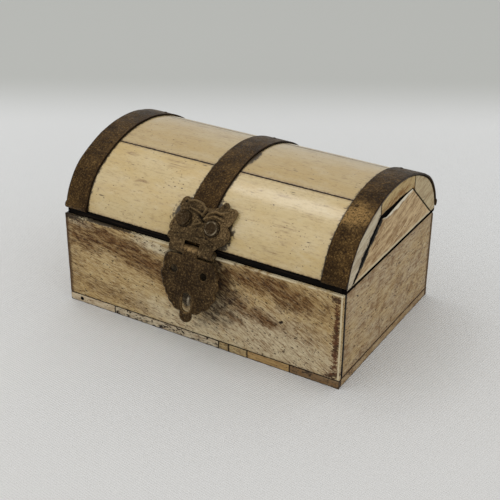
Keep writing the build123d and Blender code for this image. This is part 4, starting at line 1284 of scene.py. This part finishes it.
def white_room(light, strength, backdrop):
    """A world that lights the scene evenly, and shows its backdrop to the camera and in reflections."""
    world = bpy.data.worlds.new("room")
    world.use_nodes = True
    bpy.context.scene.world = world
    tree = world.node_tree
    room = tree.nodes["Background"]
    room.inputs["Color"].default_value = (*light, 1)
    room.inputs["Strength"].default_value = strength
    seen = tree.nodes.new("ShaderNodeBackground")
    seen.inputs["Color"].default_value = (*backdrop, 1)
    rays = tree.nodes.new("ShaderNodeLightPath")
    chosen = rays.outputs["Is Camera Ray"]
    for kind in ("Is Glossy Ray", "Is Transmission Ray"):
        larger = tree.nodes.new("ShaderNodeMath")
        larger.operation = "MAXIMUM"
        tree.links.new(chosen, larger.inputs[0])
        tree.links.new(rays.outputs[kind], larger.inputs[1])
        chosen = larger.outputs[0]
    either = tree.nodes.new("ShaderNodeMixShader")
    for socket, output in zip(either.inputs, (chosen, room.outputs[0], seen.outputs[0])):
        tree.links.new(output, socket)
    tree.links.new(either.outputs[0], tree.nodes["World Output"].inputs[0])


white_room((1.0, 0.992, 0.975), 1.04, (0.60, 0.60, 0.585))
bpy.context.scene.view_settings.view_transform = "Standard"

FLOOR_HALF = 4000.0
FLOOR_NEAR = (0.61, 0.61, 0.605)
FLOOR_MIDDLE = (0.61, 0.62, 0.625)
FLOOR_FAR = (0.415, 0.425, 0.41)
THREAD = 1.1  # from one thread of the cloth to the next


def weave(s):
    """The cloth under the chest: threads that cross, a little uneven."""
    uneven = s.times(s.noise(3.0, 3.0), 1.5)
    threads = []
    for turn in (0.62, 0.62 + math.pi / 2):
        run = s.vector("DOT_PRODUCT", s.mm, (math.cos(turn), math.sin(turn), 0.0))
        threads.append(s.math("SINE", s.math("ADD", s.times(run, 2 * math.pi / THREAD), uneven)))
    near = s.remap(s.vector("LENGTH", s.mm), 320.0, 110.0)
    height = s.math("ADD", s.times(*threads), s.times(s.noise(0.8, 3.0), 0.8))
    return s.times(near, s.remap(height, -0.6, 1.4))


def cloth():
    """Pale cloth, darker far behind the chest."""
    s = Surface("floor", FLOOR_NEAR, Roughness=0.8)
    threads = weave(s)
    s.bump(threads, 0.12)
    away = s.vector("DOT_PRODUCT", s.mm, (-0.51, 0.86, 0.0))
    s.paint(FLOOR_MIDDLE, s.remap(away, -90.0, 110.0))
    s.paint(FLOOR_FAR, s.remap(away, 150.0, 225.0))
    s.paint((0.42, 0.42, 0.41), threads, 0.12)
    return s.finish()


floor_mesh = bpy.data.meshes.new("floor")
corners = [(x * FLOOR_HALF * MM, y * FLOOR_HALF * MM, 0) for x, y in ((-1, -1), (1, -1), (1, 1), (-1, 1))]
floor_mesh.from_pydata(corners, [], [(0, 1, 2, 3)])
floor_mesh.materials.append(cloth())
floor = bpy.data.objects.new("floor", floor_mesh)
bpy.context.scene.collection.objects.link(floor)
